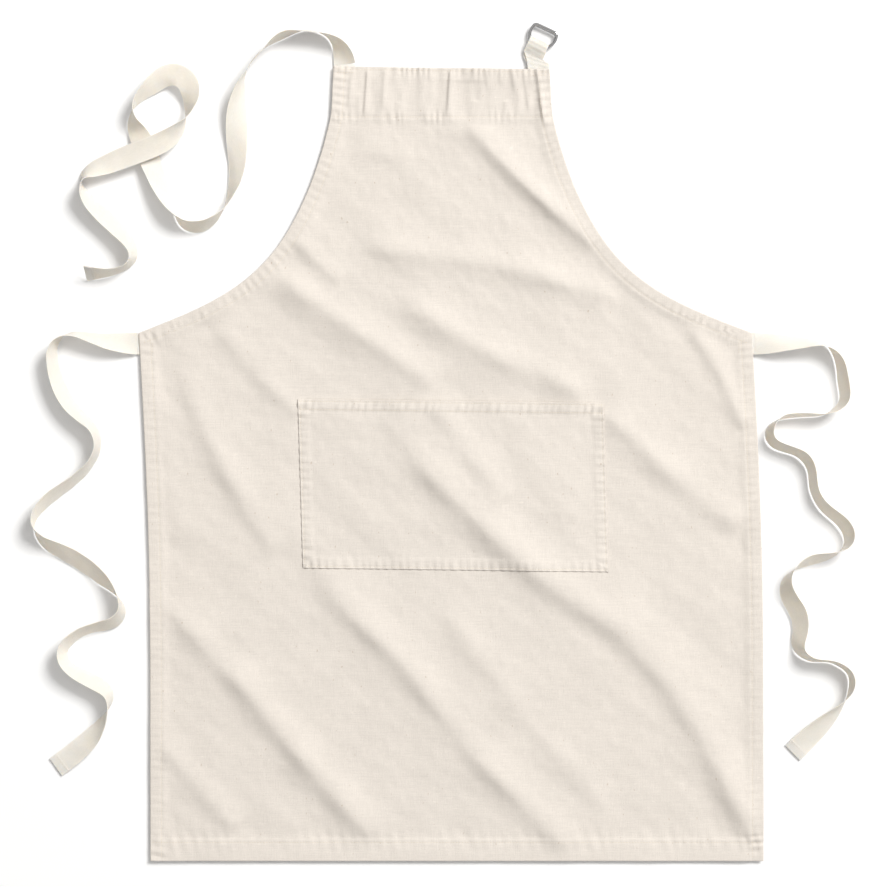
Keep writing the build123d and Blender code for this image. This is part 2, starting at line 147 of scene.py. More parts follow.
def near_line(x, y, line):
    """For points in plan: how far each is from a line, how far along it, and on which side."""
    tree = KDTree(len(line))
    for i, (a, b) in enumerate(line):
        tree.insert((a, b, 0), i)
    tree.balance()
    nearest = np.array([tree.find((a, b, 0))[1] for a, b in zip(x, y)], int)
    gaps = np.linalg.norm(np.diff(line, axis=0), axis=1)
    start = np.concatenate([[0], np.cumsum(gaps)])
    points = np.stack([x, y], axis=1)
    far = np.full(len(points), np.inf)
    along = np.zeros(len(points))
    side = np.ones(len(points))
    for first in (np.clip(nearest - 1, 0, len(line) - 2), np.clip(nearest, 0, len(line) - 2)):
        run = line[first + 1] - line[first]
        offset = points - line[first]
        share = np.clip((offset * run).sum(1) / (run * run).sum(1), 0, 1)
        distance = np.linalg.norm(offset - share[:, None] * run, axis=1)
        closer = distance < far
        far[closer] = distance[closer]
        along[closer] = (start[first] + share * gaps[first])[closer]
        turn = run[:, 0] * offset[:, 1] - run[:, 1] * offset[:, 0]
        side[closer] = np.where(turn < 0, -1, 1)[closer]
    return far, along, side


def node_plan(name):
    """The corners of a CAD node in plan, each of them once."""
    corners = np.array([v.co[:2] for v in frame["nodes"][name].data.vertices], float)
    return np.unique(corners.round(5), axis=0)


def across_at(line, y):
    """Where a side's line is across the cloth, at a height in plan."""
    return np.interp(y, line[:, 1], line[:, 0])


def side_line(side):
    """One side edge of the cloth in plan, from the foot to the bib's corner."""
    corners = node_plan("apron_panel")
    corners = corners[corners[:, 0] * side > 0]
    corners = corners[np.argsort(corners[:, 1])]
    runs = np.diff(corners, axis=0)
    heading = np.arctan2(runs[:, 1], runs[:, 0])
    breaks = [i + 1 for i in np.flatnonzero(np.abs(np.diff(heading)) > 0.4)]
    stops = [0, *breaks, len(corners) - 1]
    pieces = []
    for a, b in zip(stops, stops[1:]):
        piece = softened(evenly(corners[a:b + 1], 1 * mm), 7)
        pieces.append(piece if b == stops[-1] else piece[:-1])
    return np.concatenate(pieces)


left_line = side_line(-1)
right_line = side_line(1)
foot_y = left_line[0, 1]
facing_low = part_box("bib_facing")[0]
side_hem_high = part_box("left_side_hem")[1]
edge_spring = 2.2 * mm
edge_radius = 0.9 * mm
tab_rise = 3.0 * mm
hem_width = 14.5 * mm
seam_in = 12.5 * mm
top_seam_in = 3.4 * mm
turn_in = 1.0 * mm
hem_ply = 1.05 * mm
hem_gap = 0.08 * mm
pocket_seam_in = 2.2 * mm
stitch_lift = 0.1 * mm
foot_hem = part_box("bottom_hem")[1].y - foot_y
waist_corner = left_line[np.argmin(left_line[:, 0] + 0.02 * left_line[:, 1])]


def top_at(x):
    """The height in plan of the bib's top edge."""
    a, b = left_line[-1], right_line[-1]
    return a[1] + (b[1] - a[1]) * (x - a[0]) / (b[0] - a[0])


def top_lift(x):
    """How far the bib's top edge rises towards the tab, which lies under it."""
    return tab_rise * smoothstep(x, -8 * mm, 22 * mm)


# The soft folds that run across the front, from the upper left to the lower right: the points that a
# fold's crest goes by, its height, and how wide its lower-left and its upper-right flanks are, in mm.
folds = [
    ([(8, 366), (45, 326), (88, 282), (130, 245), (166, 215)], 7.0, 10, 17),
    ([(-206, 192), (-165, 165), (-125, 137), (-70, 100), (-13, 62)], 6.0, 16, 18),
    ([(-75, 176), (-28, 141), (21, 109), (90, 80), (160, 50)], 6.0, 16, 18),
    ([(160, 42), (196, 12), (233, -26), (282, -66), (329, -99)], 5.4, 13, 18),
    ([(-122, 222), (-45, 213), (32, 202), (110, 184), (192, 156)], 5.4, 16, 15),
    ([(-88, 46), (-62, 16), (-38, -18), (-8, -52), (48, -106), (97, -149), (146, -184), (189, -211),
      (232, -258), (267, -306), (306, -378), (338, -446), (352, -476)], 8.0, 15, 24),
    ([(-165, -138), (-112, -192), (-58, -244), (-12, -300), (32, -356), (78, -402), (126, -450),
      (146, -472)], 7.4, 14, 21),
    ([(-330, -163), (-306, -196), (-282, -222), (-240, -265), (-203, -311), (-160, -362), (-108, -420),
      (-78, -454)], 7.0, 14, 21),
    ([(-306, 84), (-286, 38), (-265, -9), (-232, -70), (-190, -134)], 5.0, 13, 16),
    ([(-266, 132), (-222, 82), (-168, 26)], 3.0, 12, 14),
    ([(-20, -178), (30, -240), (77, -300), (128, -358), (180, -414)], 3.2, 14, 18),
    ([(262, 134), (300, 82), (329, 12)], 4.2, 9, 13),
    ([(-328, -332), (-286, -384), (-236, -436)], 3.6, 12, 16),
    ([(-24, 48), (16, -6), (64, -70)], 3.4, 13, 18),
    ([(60, 6), (96, -40), (140, -92)], 1.8, 14, 18),
    ([(-322, 60), (-316, -40), (-300, -120)], 1.6, 12, 13),
    ([(-112, 330), (-82, 318), (-40, 322)], 1.8, 10, 12),
    ([(-180, 232), (-146, 196), (-120, 176)], 3.2, 9, 12),
]

# Pressed creases in the bib's band, which run down from its top edge.
band_creases = [
    ([(95, 419), (98, 390), (104, 350)], 2.6, 1.5, 4),
    ([(-94, 421), (-95, 392), (-98, 360)], 2.1, 1.8, 4),
    ([(-1, 420), (-3, 390), (-5, 356)], 2.3, 1.7, 6),
    ([(-74, 421), (-76, 392), (-77, 366)], 1.2, 2.5, 4),
    ([(80, 419), (83, 396), (88, 366)], 1.8, 2.2, 5),
    ([(68, 419), (70, 404), (71, 388)], 1.2, 2.2, 4),
    ([(-112, 420), (-113, 396), (-116, 368)], 1.2, 2.4, 4),
    ([(40, 419), (38, 404), (41, 390)], 1.2, 2.4, 5),
    ([(-50, 420), (-52, 408), (-50, 396)], 1.2, 2.6, 5),
    ([(-24, 420), (-26, 410), (-24, 400)], 1.0, 2.4, 5),
    ([(-104, 392), (-106, 376), (-104, 362)], 1.2, 2.4, 4),
    ([(54, 419), (53, 408), (55, 396)], 1.2, 2.2, 5),
    ([(24, 419), (22, 410), (23, 400)], 1.1, 2.2, 5),
    ([(60, 384), (58, 372), (62, 358)], 0.9, 2.6, 5),
    ([(26, 384), (22, 372), (20, 360)], 0.8, 2.6, 5),
    ([(-60, 382), (-62, 372), (-66, 362)], 0.8, 2.4, 5),
]


def crest_height(x, y, crest):
    """What one fold adds to the cloth's height."""
    points, height, steep, gentle = crest
    line = softened(evenly(np.array(points, float) * mm, 2 * mm), 8)
    reach = 3.2 * max(steep, gentle) * mm
    low = line.min(0) - reach
    high = line.max(0) + reach
    close = (x > low[0]) & (x < high[0]) & (y > low[1]) & (y < high[1])
    raised = np.zeros(len(x))
    if not close.any():
        return raised
    far, along, side = near_line(x[close], y[close], line)
    length = np.linalg.norm(np.diff(line, axis=0), axis=1).sum()
    fade = max(0.1 * length, min(14 * mm, 0.6 * length))
    taper = smoothstep(along, 0, 0.16 * length) * smoothstep(along, length, length - fade)
    taper *= 1 + 0.22 * uneven(along, 0 * along, 70 * mm, int(length * 1e6) % 97)
    flank = np.where(side > 0, gentle, steep) * mm
    raised[close] = height * mm * taper / np.cosh(far / flank) ** 2
    return raised


def cloth_height(x, y, small=1.0):
    """The height of the cloth's front over the surface that it lies on, at points in plan."""
    shape = np.shape(x)
    x = np.ravel(np.asarray(x, float))
    y = np.ravel(np.asarray(y, float))
    left_far, left_along, _ = near_line(x, y, left_line)
    right_far, right_along, _ = near_line(x, y, right_line)
    side_far = np.minimum(left_far, right_far)
    side_along = np.where(left_far < right_far, left_along, right_along + 0.7)
    top_far = top_at(x) - y
    foot_far = y - foot_y
    settings = bpy.context.scene.smock_cloth

    # Three plies lie at the hems and the facing, and one inside them.
    plies = smoothstep(side_far, hem_width + 9 * mm, hem_width - 2 * mm)
    plies = np.maximum(plies, smoothstep(foot_far, foot_hem + 4 * mm, foot_hem - 1 * mm))
    plies = np.maximum(plies, smoothstep(y, facing_low.y - 8 * mm, facing_low.y + 1 * mm))
    height = (1.0 + 1.1 * plies) * mm
    spring = np.maximum(smoothstep(side_far, 30 * mm, 0), smoothstep(foot_far, 36 * mm, 0))
    height += edge_spring * spring

    # Broad folds lie flatter where the hems stiffen the cloth.
    stiff = 0.4 + 0.6 * smoothstep(side_far, 2 * mm, 26 * mm)
    stiff *= 0.4 + 0.6 * smoothstep(foot_far, 4 * mm, 34 * mm)
    stiff *= smoothstep(y, facing_low.y + 16 * mm, facing_low.y - 16 * mm)
    broad = sum(crest_height(x, y, crest) for crest in folds)
    slope = x * 0.72 + y * 0.69
    across = x * 0.69 - y * 0.72
    broad += 0.55 * mm * (uneven(slope * 1.5, across * 0.45, 95 * mm, 3) + 1)
    broad += 0.30 * mm * uneven(slope * 1.5, across * 0.6, 36 * mm, 5)
    broad += 0.10 * mm * uneven(slope * 1.3, across * 0.8, 15 * mm, 6)
    height += settings.fold_height * stiff * broad

    # The sides' seams draw the cloth into short puckers.
    pucker = settings.pucker_height * small
    beat = puckers(side_along, 9.5 * mm, 1.1, 50 * mm, 11, side_far / (14 * mm))
    beat = beat * np.abs(beat) ** 0.4
    strength = patchy(side_along, 0.8, 0.4, 34 * mm, 12, 0.25, 1.25)
    strength *= 1 + 0.35 * smoothstep(y, 100 * mm, 150 * mm)
    height += pucker * 0.85 * mm * strength * bell(side_far - 8 * mm, 9 * mm) * beat
    height -= small * 0.40 * mm * bell(side_far - seam_in, 1.5 * mm)

    # The foot's hem is turned wider and puckers less.
    beat = puckers(x, 13 * mm, 2.4, 80 * mm, 21, foot_far / (9 * mm))
    strength = patchy(x, 0.7, 0.4, 50 * mm, 22, 0.2, 1.2)
    height += pucker * 0.7 * mm * bell(foot_far - foot_hem, 13 * mm) * beat * strength
    height -= small * 0.35 * mm * bell(foot_far - foot_hem + 2 * mm, 1.5 * mm)

    # The bib's band is gathered all the way down, and most of all by its top edge.
    in_band = smoothstep(y, facing_low.y - 10 * mm, facing_low.y + 6 * mm)
    gathers = uneven(x, 0.25 * y, 30 * mm, 31) + 0.5 * uneven(x, 0.45 * y, 12 * mm, 32)
    height += pucker * 0.75 * mm * in_band * gathers
    beat = puckers(x, 6.6 * mm, 2.6, 30 * mm, 33) * patchy(x, 0.5, 0.6, 44 * mm, 34, 0, 1.2)
    height += pucker * 0.85 * mm * bell(top_far, 9 * mm) * beat
    ridge = patchy(x, 0.4, 0.6, 70 * mm, 37, 0, 1.2)
    height += small * 0.5 * mm * ridge * bell(top_far - 13 * mm, 2.6 * mm)
    height -= small * 0.30 * mm * bell(top_far - top_seam_in, 1.3 * mm)
    seam_far = y - facing_low.y - 2 * mm
    beat = puckers(x, 8 * mm, 2.4, 36 * mm, 35) * patchy(x, 0.5, 0.6, 30 * mm, 36, 0, 1.2)
    height += pucker * 0.6 * mm * beat * bell(seam_far, 7 * mm)
    height -= small * 0.45 * mm * bell(seam_far, 1.4 * mm)
    height += top_lift(x) * bell(top_far, 17 * mm)
    if small > 0:
        height += small * sum(crest_height(x, y, crest) for crest in band_creases)

    edge = np.minimum(np.minimum(side_far, top_far), foot_far)
    return (height - edge_drop(edge, edge_radius)).reshape(shape)


# ---------------------------------------------------------------- meshes
def make_mesh(name, points, quads, uv=None, sharp=50):
    """A smooth-shaded mesh object of four-cornered faces."""
    mesh = bpy.data.meshes.new(name)
    points = np.ascontiguousarray(points, dtype=np.float32)
    quads = np.ascontiguousarray(quads, dtype=np.int32)
    mesh.vertices.add(len(points))
    mesh.vertices.foreach_set("co", points.ravel())
    mesh.loops.add(quads.size)
    mesh.loops.foreach_set("vertex_index", quads.ravel())
    mesh.polygons.add(len(quads))
    mesh.polygons.foreach_set("loop_start", np.arange(0, quads.size, 4, dtype=np.int32))
    mesh.update(calc_edges=True)
    if uv is not None:
        layer = mesh.uv_layers.new(name="cloth")
        layer.data.foreach_set("uv", np.asarray(uv, np.float32)[quads.ravel()].ravel())
    mesh.shade_smooth()
    mesh.set_sharp_from_angle(angle=math.radians(sharp))
    piece = bpy.data.objects.new(name, mesh)
    bpy.context.scene.collection.objects.link(piece)
    return piece


def slab(name, front, thickness, uv):
    """A sheet with thickness. Its front is a grid of points; along a row, then up, turns to the front."""
    rows, columns = front.shape[:2]
    normal = unit(np.cross(np.gradient(front, axis=1), np.gradient(front, axis=0)))
    back = front - normal * thickness
    index = np.arange(rows * columns).reshape(rows, columns)
    corners = [index[:-1, :-1], index[:-1, 1:], index[1:, 1:], index[1:, :-1]]
    faces = np.stack(corners, axis=-1).reshape(-1, 4)
    count = rows * columns
    border = np.concatenate([index[0, :-1], index[:-1, -1], index[-1, :0:-1], index[:0:-1, 0]])
    after = np.roll(border, -1)
    rim = np.stack([after, border, border + count, after + count], axis=-1)
    quads = np.concatenate([faces, faces[:, ::-1] + count, rim])
    points = np.concatenate([front.reshape(-1, 3), back.reshape(-1, 3)])
    flat = np.asarray(uv, float).reshape(-1, 2)
    return make_mesh(name, points, quads, np.concatenate([flat, flat]))


def finish_piece(piece, material, slot, *replaced, body="root"):
    """Gives a piece its material, the body it rides on, and the CAD nodes it stands for; slot is not
    used.
    """
    piece.data.materials.append(material)
    if body:
        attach(piece, body)
    if replaced:
        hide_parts(*replaced)
    return piece


# ---------------------------------------------------------------- materials
class Value:
    """A shader socket that Python arithmetic works on."""

    def __init__(self, paint, socket):
        self.paint = paint
        self.socket = socket

    def maths(self, operation, *inputs):
        """A Math node of that operation on these numbers or values."""
        return self.paint.node("ShaderNodeMath", {"operation": operation}, dict(enumerate(inputs)))

    def __add__(self, other):
        return self.maths("ADD", self, other)

    def __radd__(self, other):
        return self.maths("ADD", other, self)

    def __sub__(self, other):
        return self.maths("SUBTRACT", self, other)

    def __rsub__(self, other):
        return self.maths("SUBTRACT", other, self)

    def __mul__(self, other):
        return self.maths("MULTIPLY", self, other)

    def __rmul__(self, other):
        return self.maths("MULTIPLY", other, self)

    def sine(self):
        return self.maths("SINE", self)

    def size(self):
        return self.maths("ABSOLUTE", self)

    def clip(self, low, high):
        """0 at low and below, 1 at high and above."""
        ends = {"Value": self, "From Min": low, "From Max": high, "To Min": 0.0, "To Max": 1.0}
        return self.paint.node("ShaderNodeMapRange", {"clamp": True}, ends)


class Paint:
    """A node tree and the nodes made in it."""

    def __init__(self, tree):
        self.tree = tree

    def node(self, kind, settings=None, inputs=None, output=0):
        """A node with its settings made first, then its sockets set or linked; gives one output."""
        made = self.tree.nodes.new(kind)
        for key, value in (settings or {}).items():
            setattr(made, key, value)
        for key, value in (inputs or {}).items():
            self.feed(made.inputs[key], value)
        return Value(self, made.outputs[output])

    def feed(self, socket, value):
        """Links a value to a socket, or sets a number or colour on it."""
        if isinstance(value, Value):
            self.tree.links.new(value.socket, socket)
        else:
            socket.default_value = value

    def set(self, **inputs):
        """Sets the shader's own sockets, named in small letters."""
        shader = self.tree.nodes["Principled BSDF"]
        for key, value in inputs.items():
            name = key.replace("_", " ").title().replace("Ior", "IOR")
            self.feed(shader.inputs[name], value)

    def noise(self, place, scale, detail=2.0, roughness=0.5, stretch=None):
        """Noise from 0 to 1, with that many bumps to a metre, longer where stretch is under 1."""
        if stretch:
            place = self.node("ShaderNodeVectorMath", {"operation": "MULTIPLY"}, {0: place, 1: stretch})
        values = {"Vector": place, "Scale": scale, "Detail": detail, "Roughness": roughness}
        return self.node("ShaderNodeTexNoise", {}, values)

    def mixed(self, share, first, second):
        """A colour between two."""
        values = {"Factor": share, 6: first, 7: second}
        return self.node("ShaderNodeMix", {"data_type": "RGBA", "clamp_factor": True}, values, output=2)

    def bumped(self, height, distance, strength=1.0):
        """A normal from heights of up to 1, as tall as that distance."""
        values = {"Height": height, "Distance": distance, "Strength": strength}
        return self.node("ShaderNodeBump", {}, values)


def new_material(name):
    """A material and the paint that its nodes are made with."""
    material = bpy.data.materials.new(name)
    material.use_nodes = True
    return material, Paint(material.node_tree)


def shade(colour, factor):
    """A colour made lighter or darker."""
    return (*[min(1.0, channel * factor) for channel in colour[:3]], 1.0)


def cloth_place(paint):
    """Where a point of the cloth is on the flat cloth, in metres: the place, and its two parts."""
    place = paint.node("ShaderNodeUVMap", {"uv_map": "cloth"})
    across, along = (paint.node("ShaderNodeSeparateXYZ", {}, {0: place}, output=part) for part in (0, 1))
    return place, across, along


def canvas_material():
    """Undyed plain-weave canvas with slubs and seed flecks."""
    settings = bpy.context.scene.smock_cloth
    material, paint = new_material("plain_weave_canvas")
    place, across, along = cloth_place(paint)
    waver = paint.noise(place, 90.0, 2.0) - 0.5
    turn = math.pi / settings.thread_pitch
    warp = (across * turn + waver * 2.2).sine()
    weft = (along * turn + waver * 2.2).sine()
    over = (warp * weft * 1.6 + 0.5).clip(0.0, 1.0)
    weave = warp.size() * over + weft.size() * (1 - over)

    warp_slub = paint.noise(place, 850.0, 3.0, 0.6, (1.0, 0.09, 1.0))
    weft_slub = paint.noise(place, 850.0, 3.0, 0.6, (0.09, 1.0, 1.0))
    slubs = warp_slub + weft_slub - 1.0
    long_weft = paint.noise(place, 420.0, 2.0, 0.6, (0.03, 1.0, 1.0)) - 0.5
    fine = paint.noise(place, 520.0, 4.0, 0.65) - 0.5
    broad = paint.noise(place, 26.0, 3.0, 0.55) - 0.5
    flecks = paint.noise(place, 330.0, 1.0, 0.4, (1.0, 0.55, 1.0)).clip(0.735, 0.80)
    pale = paint.noise(place, 260.0, 1.0, 0.4, (0.5, 1.0, 1.0)).clip(0.72, 0.80)

    tone = 0.5 + slubs * 0.75 + fine * 0.55 + broad * 0.35 + long_weft * 0.35 + (weave - 0.6) * 0.22
    tone = tone.clip(0.0, 1.0)
    body = settings.canvas_colour
    colour = paint.mixed(tone, shade(body, 0.86), shade(body, 1.10))
    colour = paint.mixed(flecks * 0.35, colour, (*settings.fleck_colour[:3], 1.0))
    colour = paint.mixed(pale * 0.35, colour, shade(body, 1.2))
    relief = weave * 0.55 + slubs * 0.8 + fine * 0.5 + 0.3
    paint.set(base_color=colour, roughness=0.9 + fine * 0.08, normal=paint.bumped(relief, 0.00022, 0.75))
    paint.set(sheen_weight=0.18, sheen_roughness=0.6, specular_ior_level=0.22)
    return material


def tape_material():
    """Ivory cotton tape, woven in a fine twill."""
    settings = bpy.context.scene.smock_tape
    material, paint = new_material("twill_tape")
    place, across, along = cloth_place(paint)
    waver = paint.noise(place, 160.0, 2.0) - 0.5
    turn = tau / settings.rib_pitch
    zigzag = (across * (tau / 0.012)).sine().size() * 0.004
    ribs = ((along + zigzag) * turn + waver * 2.5).sine() * 0.5 + 0.5
    threads = (across * turn * 1.7).sine() * 0.5 + 0.5
    fine = paint.noise(place, 900.0, 3.0, 0.6, (1.0, 0.25, 1.0)) - 0.5
    broad = paint.noise(place, 60.0, 2.0, 0.5, (1.0, 0.4, 1.0)) - 0.5
    tone = 0.55 + (ribs - 0.5) * 0.25 + (threads - 0.5) * 0.12 + fine * 0.6 + broad * 0.3
    body = settings.tape_colour
    colour = paint.mixed(tone.clip(0.0, 1.0), shade(body, 0.86), shade(body, 1.08))
    # Both edges of the tape are painted paler: a painted highlight where its edges catch the light.
    selvage_highlight = across.size().clip(0.0102, 0.0108)
    colour = paint.mixed(selvage_highlight * 0.5, colour, shade(body, 1.08))
    relief = ribs * 0.6 + threads * 0.35 + fine * 0.5
    paint.set(base_color=colour, roughness=0.86 + fine * 0.08, normal=paint.bumped(relief, 0.00016, 0.7))
    paint.set(specular_ior_level=0.25, subsurface_weight=0.6, subsurface_scale=0.0014)
    paint.set(subsurface_radius=(1.0, 0.85, 0.68))
    return material


def thread_material():
    """Cotton sewing thread, twisted from fine plies."""
    settings = bpy.context.scene.smock_thread
    material, paint = new_material("sewing_thread")
    place = paint.node("ShaderNodeTexCoord", output=3)
    fine = paint.noise(place, 2600.0, 2.0) - 0.5
    broad = paint.noise(place, 120.0, 1.0) - 0.5
    body = settings.thread_colour
    tone = (0.5 + fine * 0.7 + broad * 0.5).clip(0.0, 1.0)
    paint.set(base_color=paint.mixed(tone, shade(body, 0.86), shade(body, 1.08)))
    paint.set(roughness=0.75 + fine * 0.1, normal=paint.bumped(fine + 0.5, 0.00008, 0.6))
    paint.set(sheen_weight=0.1, specular_ior_level=0.3)
    return material


def ring_material():
    """Polished nickel plate with a few hairline scuffs."""
    settings = bpy.context.scene.smock_rings
    material, paint = new_material("nickel_plate")
    place = paint.node("ShaderNodeTexCoord", output=3)
    scuff = paint.noise(place, 1800.0, 3.0, 0.6, (1.0, 0.12, 1.0))
    cloud = paint.noise(place, 160.0, 2.0, 0.5) - 0.5
    marks = scuff.clip(0.62, 0.78)
    body = settings.plate_colour
    paint.set(base_color=paint.mixed(marks * 0.5, shade(body, 1.0), shade(body, 0.8)))
    paint.set(metallic=1.0, roughness=0.07 + marks * 0.12 + cloud * 0.03)
    paint.set(normal=paint.bumped(scuff, 0.00002, 0.4))
    return material


def floor_material():
    """A plain pale studio surface."""
    material, paint = new_material("studio_floor")
    place = paint.node("ShaderNodeTexCoord", output=3)
    cloud = paint.noise(place, 3.0, 1.0) - 0.5
    colour = bpy.context.scene.smock_stage.floor_colour
    tone = (cloud * 0.3 + 0.5).clip(0.0, 1.0)
    paint.set(base_color=paint.mixed(tone, shade(colour, 0.997), shade(colour, 1.0)))
    paint.set(roughness=0.95, specular_ior_level=0.05)
    return material


# ---------------------------------------------------------------- stage
def paint_air(world, strength):
    """Even, faintly warm light from above that falls off towards the horizon."""
    paint = Paint(world.node_tree)
    place = paint.node("ShaderNodeTexCoord")
    height = paint.node("ShaderNodeSeparateXYZ", {}, {0: place}, output=2)
    ends = {"Value": height, "From Min": 0.35, "From Max": 0.85, "To Min": 0.03, "To Max": 1.2}
    share = paint.node("ShaderNodeMapRange", {}, ends)
    values = {"Factor": share, 6: (0.0, 0.0, 0.0, 1.0), 7: (1.0, 0.98, 0.95, 1.0)}
    settings = {"data_type": "RGBA", "clamp_factor": False}
    air = paint.tree.nodes["Background"]
    paint.feed(air.inputs["Color"], paint.node("ShaderNodeMix", settings, values, output=2))
    paint.feed(air.inputs["Strength"], strength)


floor_reach = 6.0
floor_drop = 1.8 * mm


def build_stage():
    """The floor, the lights and the camera, which looks straight down."""
    settings = bpy.context.scene.smock_stage
    scene = bpy.context.scene
    around = ((-1, -1), (1, -1), (1, 1), (-1, 1))
    corners = [(x * floor_reach, y * floor_reach, -floor_drop) for x, y in around]
    floor = make_mesh("studio_floor", np.array(corners), np.array([[0, 1, 2, 3]]))
    floor.data.materials.append(floor_material())

    lens = bpy.data.cameras.new("camera")
    camera = bpy.data.objects.new("camera", lens)
    scene.collection.objects.link(camera)
    scene.camera = camera
    tall = settings.view_height
    camera.location = (*settings.view_centre, tall)
    lens.sensor_width = 36.0
    lens.lens = lens.sensor_width * tall / settings.view_size
    lens.clip_start = 0.05
    lens.clip_end = 30.0

    world = bpy.data.worlds.new("studio_air")
    scene.world = world
    world.use_nodes = True
    paint_air(world, settings.air_strength)
    scene.view_settings.view_transform = "Standard"
    scene.view_settings.look = "None"
    scene.view_settings.exposure = 0.0
    scene.view_settings.gamma = 1.0

    light = bpy.data.lights.new("key_light", "AREA")
    light.energy = settings.key_power
    light.size = 3.0
    light.color = (1.0, 0.985, 0.96)
    lamp = bpy.data.objects.new("key_light", light)
    place = Vector((3.9, 3.9, 6.1))
    lamp.location = place
    lamp.rotation_euler = (-place).to_track_quat("-Z", "Y").to_euler()
    scene.collection.objects.link(lamp)


# ---------------------------------------------------------------- free tapes
# The points that each tape's middle line goes by, from its sewn end to its free end, in mm, and how far
# it is rolled there, in degrees: 0 lies flat, 90 stands on its right edge.
strap_stations = [
    (-120, 423, 1.4, 0), (-120, 438, 1.8, -40), (-135, 454, 10, -86), (-161, 461, 13, -112),
    (-189, 456, 14, -68), (-212, 437, 14, -104), (-231, 414, 13, -100), (-239, 385, 10, -50),
    (-241, 349, 6, 4), (-239, 312, 7, 33), (-245, 280, 11, 62), (-257, 252, 12, 94), (-282, 237, 10, 124),
    (-305, 244, 11, 112), (-320, 272, 9, 48), (-333, 305, 6, 34), (-346, 337, 6.5, -4),
    (-360, 363, 11, -74), (-353, 384, 12, -104), (-336, 397, 10, -132), (-319, 411, 11, -160),
    (-303, 411, 12, -174), (-292, 400, 12.5, -168), (-290, 385, 13, -146), (-295, 358, 14, -92),
    (-315, 336, 17.5, -26), (-349, 323, 17.5, -4), (-385, 310, 11, 16), (-417, 299, 11, 66),
    (-412, 274, 11, 120), (-385, 249, 9.5, 142), (-360, 226, 11.4, 126), (-351, 202, 12, 98),
    (-380, 187, 9, 100), (-409, 189, 9, 130),
]
left_tie_stations = [
    (-352, 110, 2.4, 0), (-377, 110, 3, 38), (-407, 118, 10, 68), (-430, 124, 12.3, 80),
    (-448, 109, 12, 108), (-446, 84, 11, 119), (-436, 53, 10, 128), (-418, 30, 11, 118),
    (-398, 15, 12, 106), (-394, -6, 12.3, 101), (-405, -28, 12, 106), (-431, -50, 11.4, 115),
    (-455, -66, 11.2, 119), (-473, -90, 12.3, 97), (-457, -114, 10.4, 54), (-421, -129, 7.7, 36),
    (-389, -153, 9.5, 48), (-372, -171, 12, 82), (-365, -191, 12, 112), (-378, -204, 12, 124),
    (-398, -206, 11.4, 115), (-418, -213, 11.4, 115), (-439, -232, 11.6, 112), (-430, -253, 11.6, 112),
    (-399, -268, 10.4, 130), (-380, -280, 11.6, 116), (-385, -307, 8, 74), (-412, -342, 0.6, 10),
    (-443, -364, 0.6, 0),
]
right_tie_stations = [
    (339, 110, 2.4, 0), (365, 110, 3, -37), (397, 112, 10, -65), (423, 109, 12.3, -88),
    (435, 88, 12, -109), (437, 66, 11.4, -117), (443, 44, 11.6, -112), (419, 28, 12.3, -86),
    (389, 31, 12.2, -79), (368, 29, 11.8, -76), (353, 17, 11.6, -106), (356, -2, 11.6, -113),
    (376, -7, 11.8, -111), (396, -14, 12, -110), (404, -34, 12, -107), (403, -56, 11.8, -108),
    (419, -77, 11.6, -113), (441, -90, 11.4, -123), (448, -112, 11.4, -113), (431, -127, 11.6, -76),
    (400, -131, 10.4, -52), (377, -144, 11.6, -90), (372, -168, 9.5, -133), (388, -188, 8.6, -141),
    (392, -208, 10, -131), (383, -232, 11.4, -116), (403, -246, 12.2, -101), (427, -243, 12.3, -98),
    (450, -258, 12.2, -101), (448, -280, 12, -100), (431, -299, 10.8, -60), (405, -325, 0.6, -18),
    (382, -348, 0.6, 0),
]
tape_step = 1.6 * mm
tape_lowest = 0.65 * mm


def spline_points(points):
    """The points of a smooth line that has these as its control points."""
    curve = bpy.data.curves.new("line", "CURVE")
    curve.dimensions = "3D"
    curve.resolution_u = 24
    spline = curve.splines.new("NURBS")
    spline.points.add(len(points) - 1)
    for control, point in zip(spline.points, points):
        control.co = (*point, 1.0)
    spline.order_u = 3
    spline.use_endpoint_u = True
    holder = bpy.data.objects.new("line", curve)
    mesh = bpy.data.meshes.new_from_object(holder)
    line = np.array([v.co for v in mesh.vertices], float)
    bpy.data.meshes.remove(mesh)
    bpy.data.objects.remove(holder)
    bpy.data.curves.remove(curve)
    return line


def tape_line(stations, half):
    """A tape's middle line and its roll at even steps, with the tape's lower edge on the surface."""
    line = spline_points([(x * mm, y * mm, z * mm) for x, y, z, _ in stations])
    turns = spline_points([(math.radians(roll), 0, 0) for *_, roll in stations])[:, :1]
    along = distance_along(line)
    at = np.linspace(0, along[-1], int(along[-1] / tape_step) + 1)
    joined = at_distances(np.concatenate([line, turns], axis=1), along, at)
    lowest = half * np.abs(np.sin(joined[:, 3])) + tape_lowest
    joined[:, 2] = np.maximum(joined[:, 2], lowest)
    joined = softened(joined, 4)
    return at, joined[:, :3], joined[:, 3]


def tape_axes(line, roll):
    """The directions across and out of a tape's face, at each of its line's points."""
    along = unit(np.gradient(line, axis=0))
    level = unit(np.stack([-along[:, 1], along[:, 0], 0 * roll], axis=1))
    above = np.cross(along, level)
    cos = np.cos(roll)[:, None]
    sin = np.sin(roll)[:, None]
    return cos * level + sin * above, cos * above - sin * level


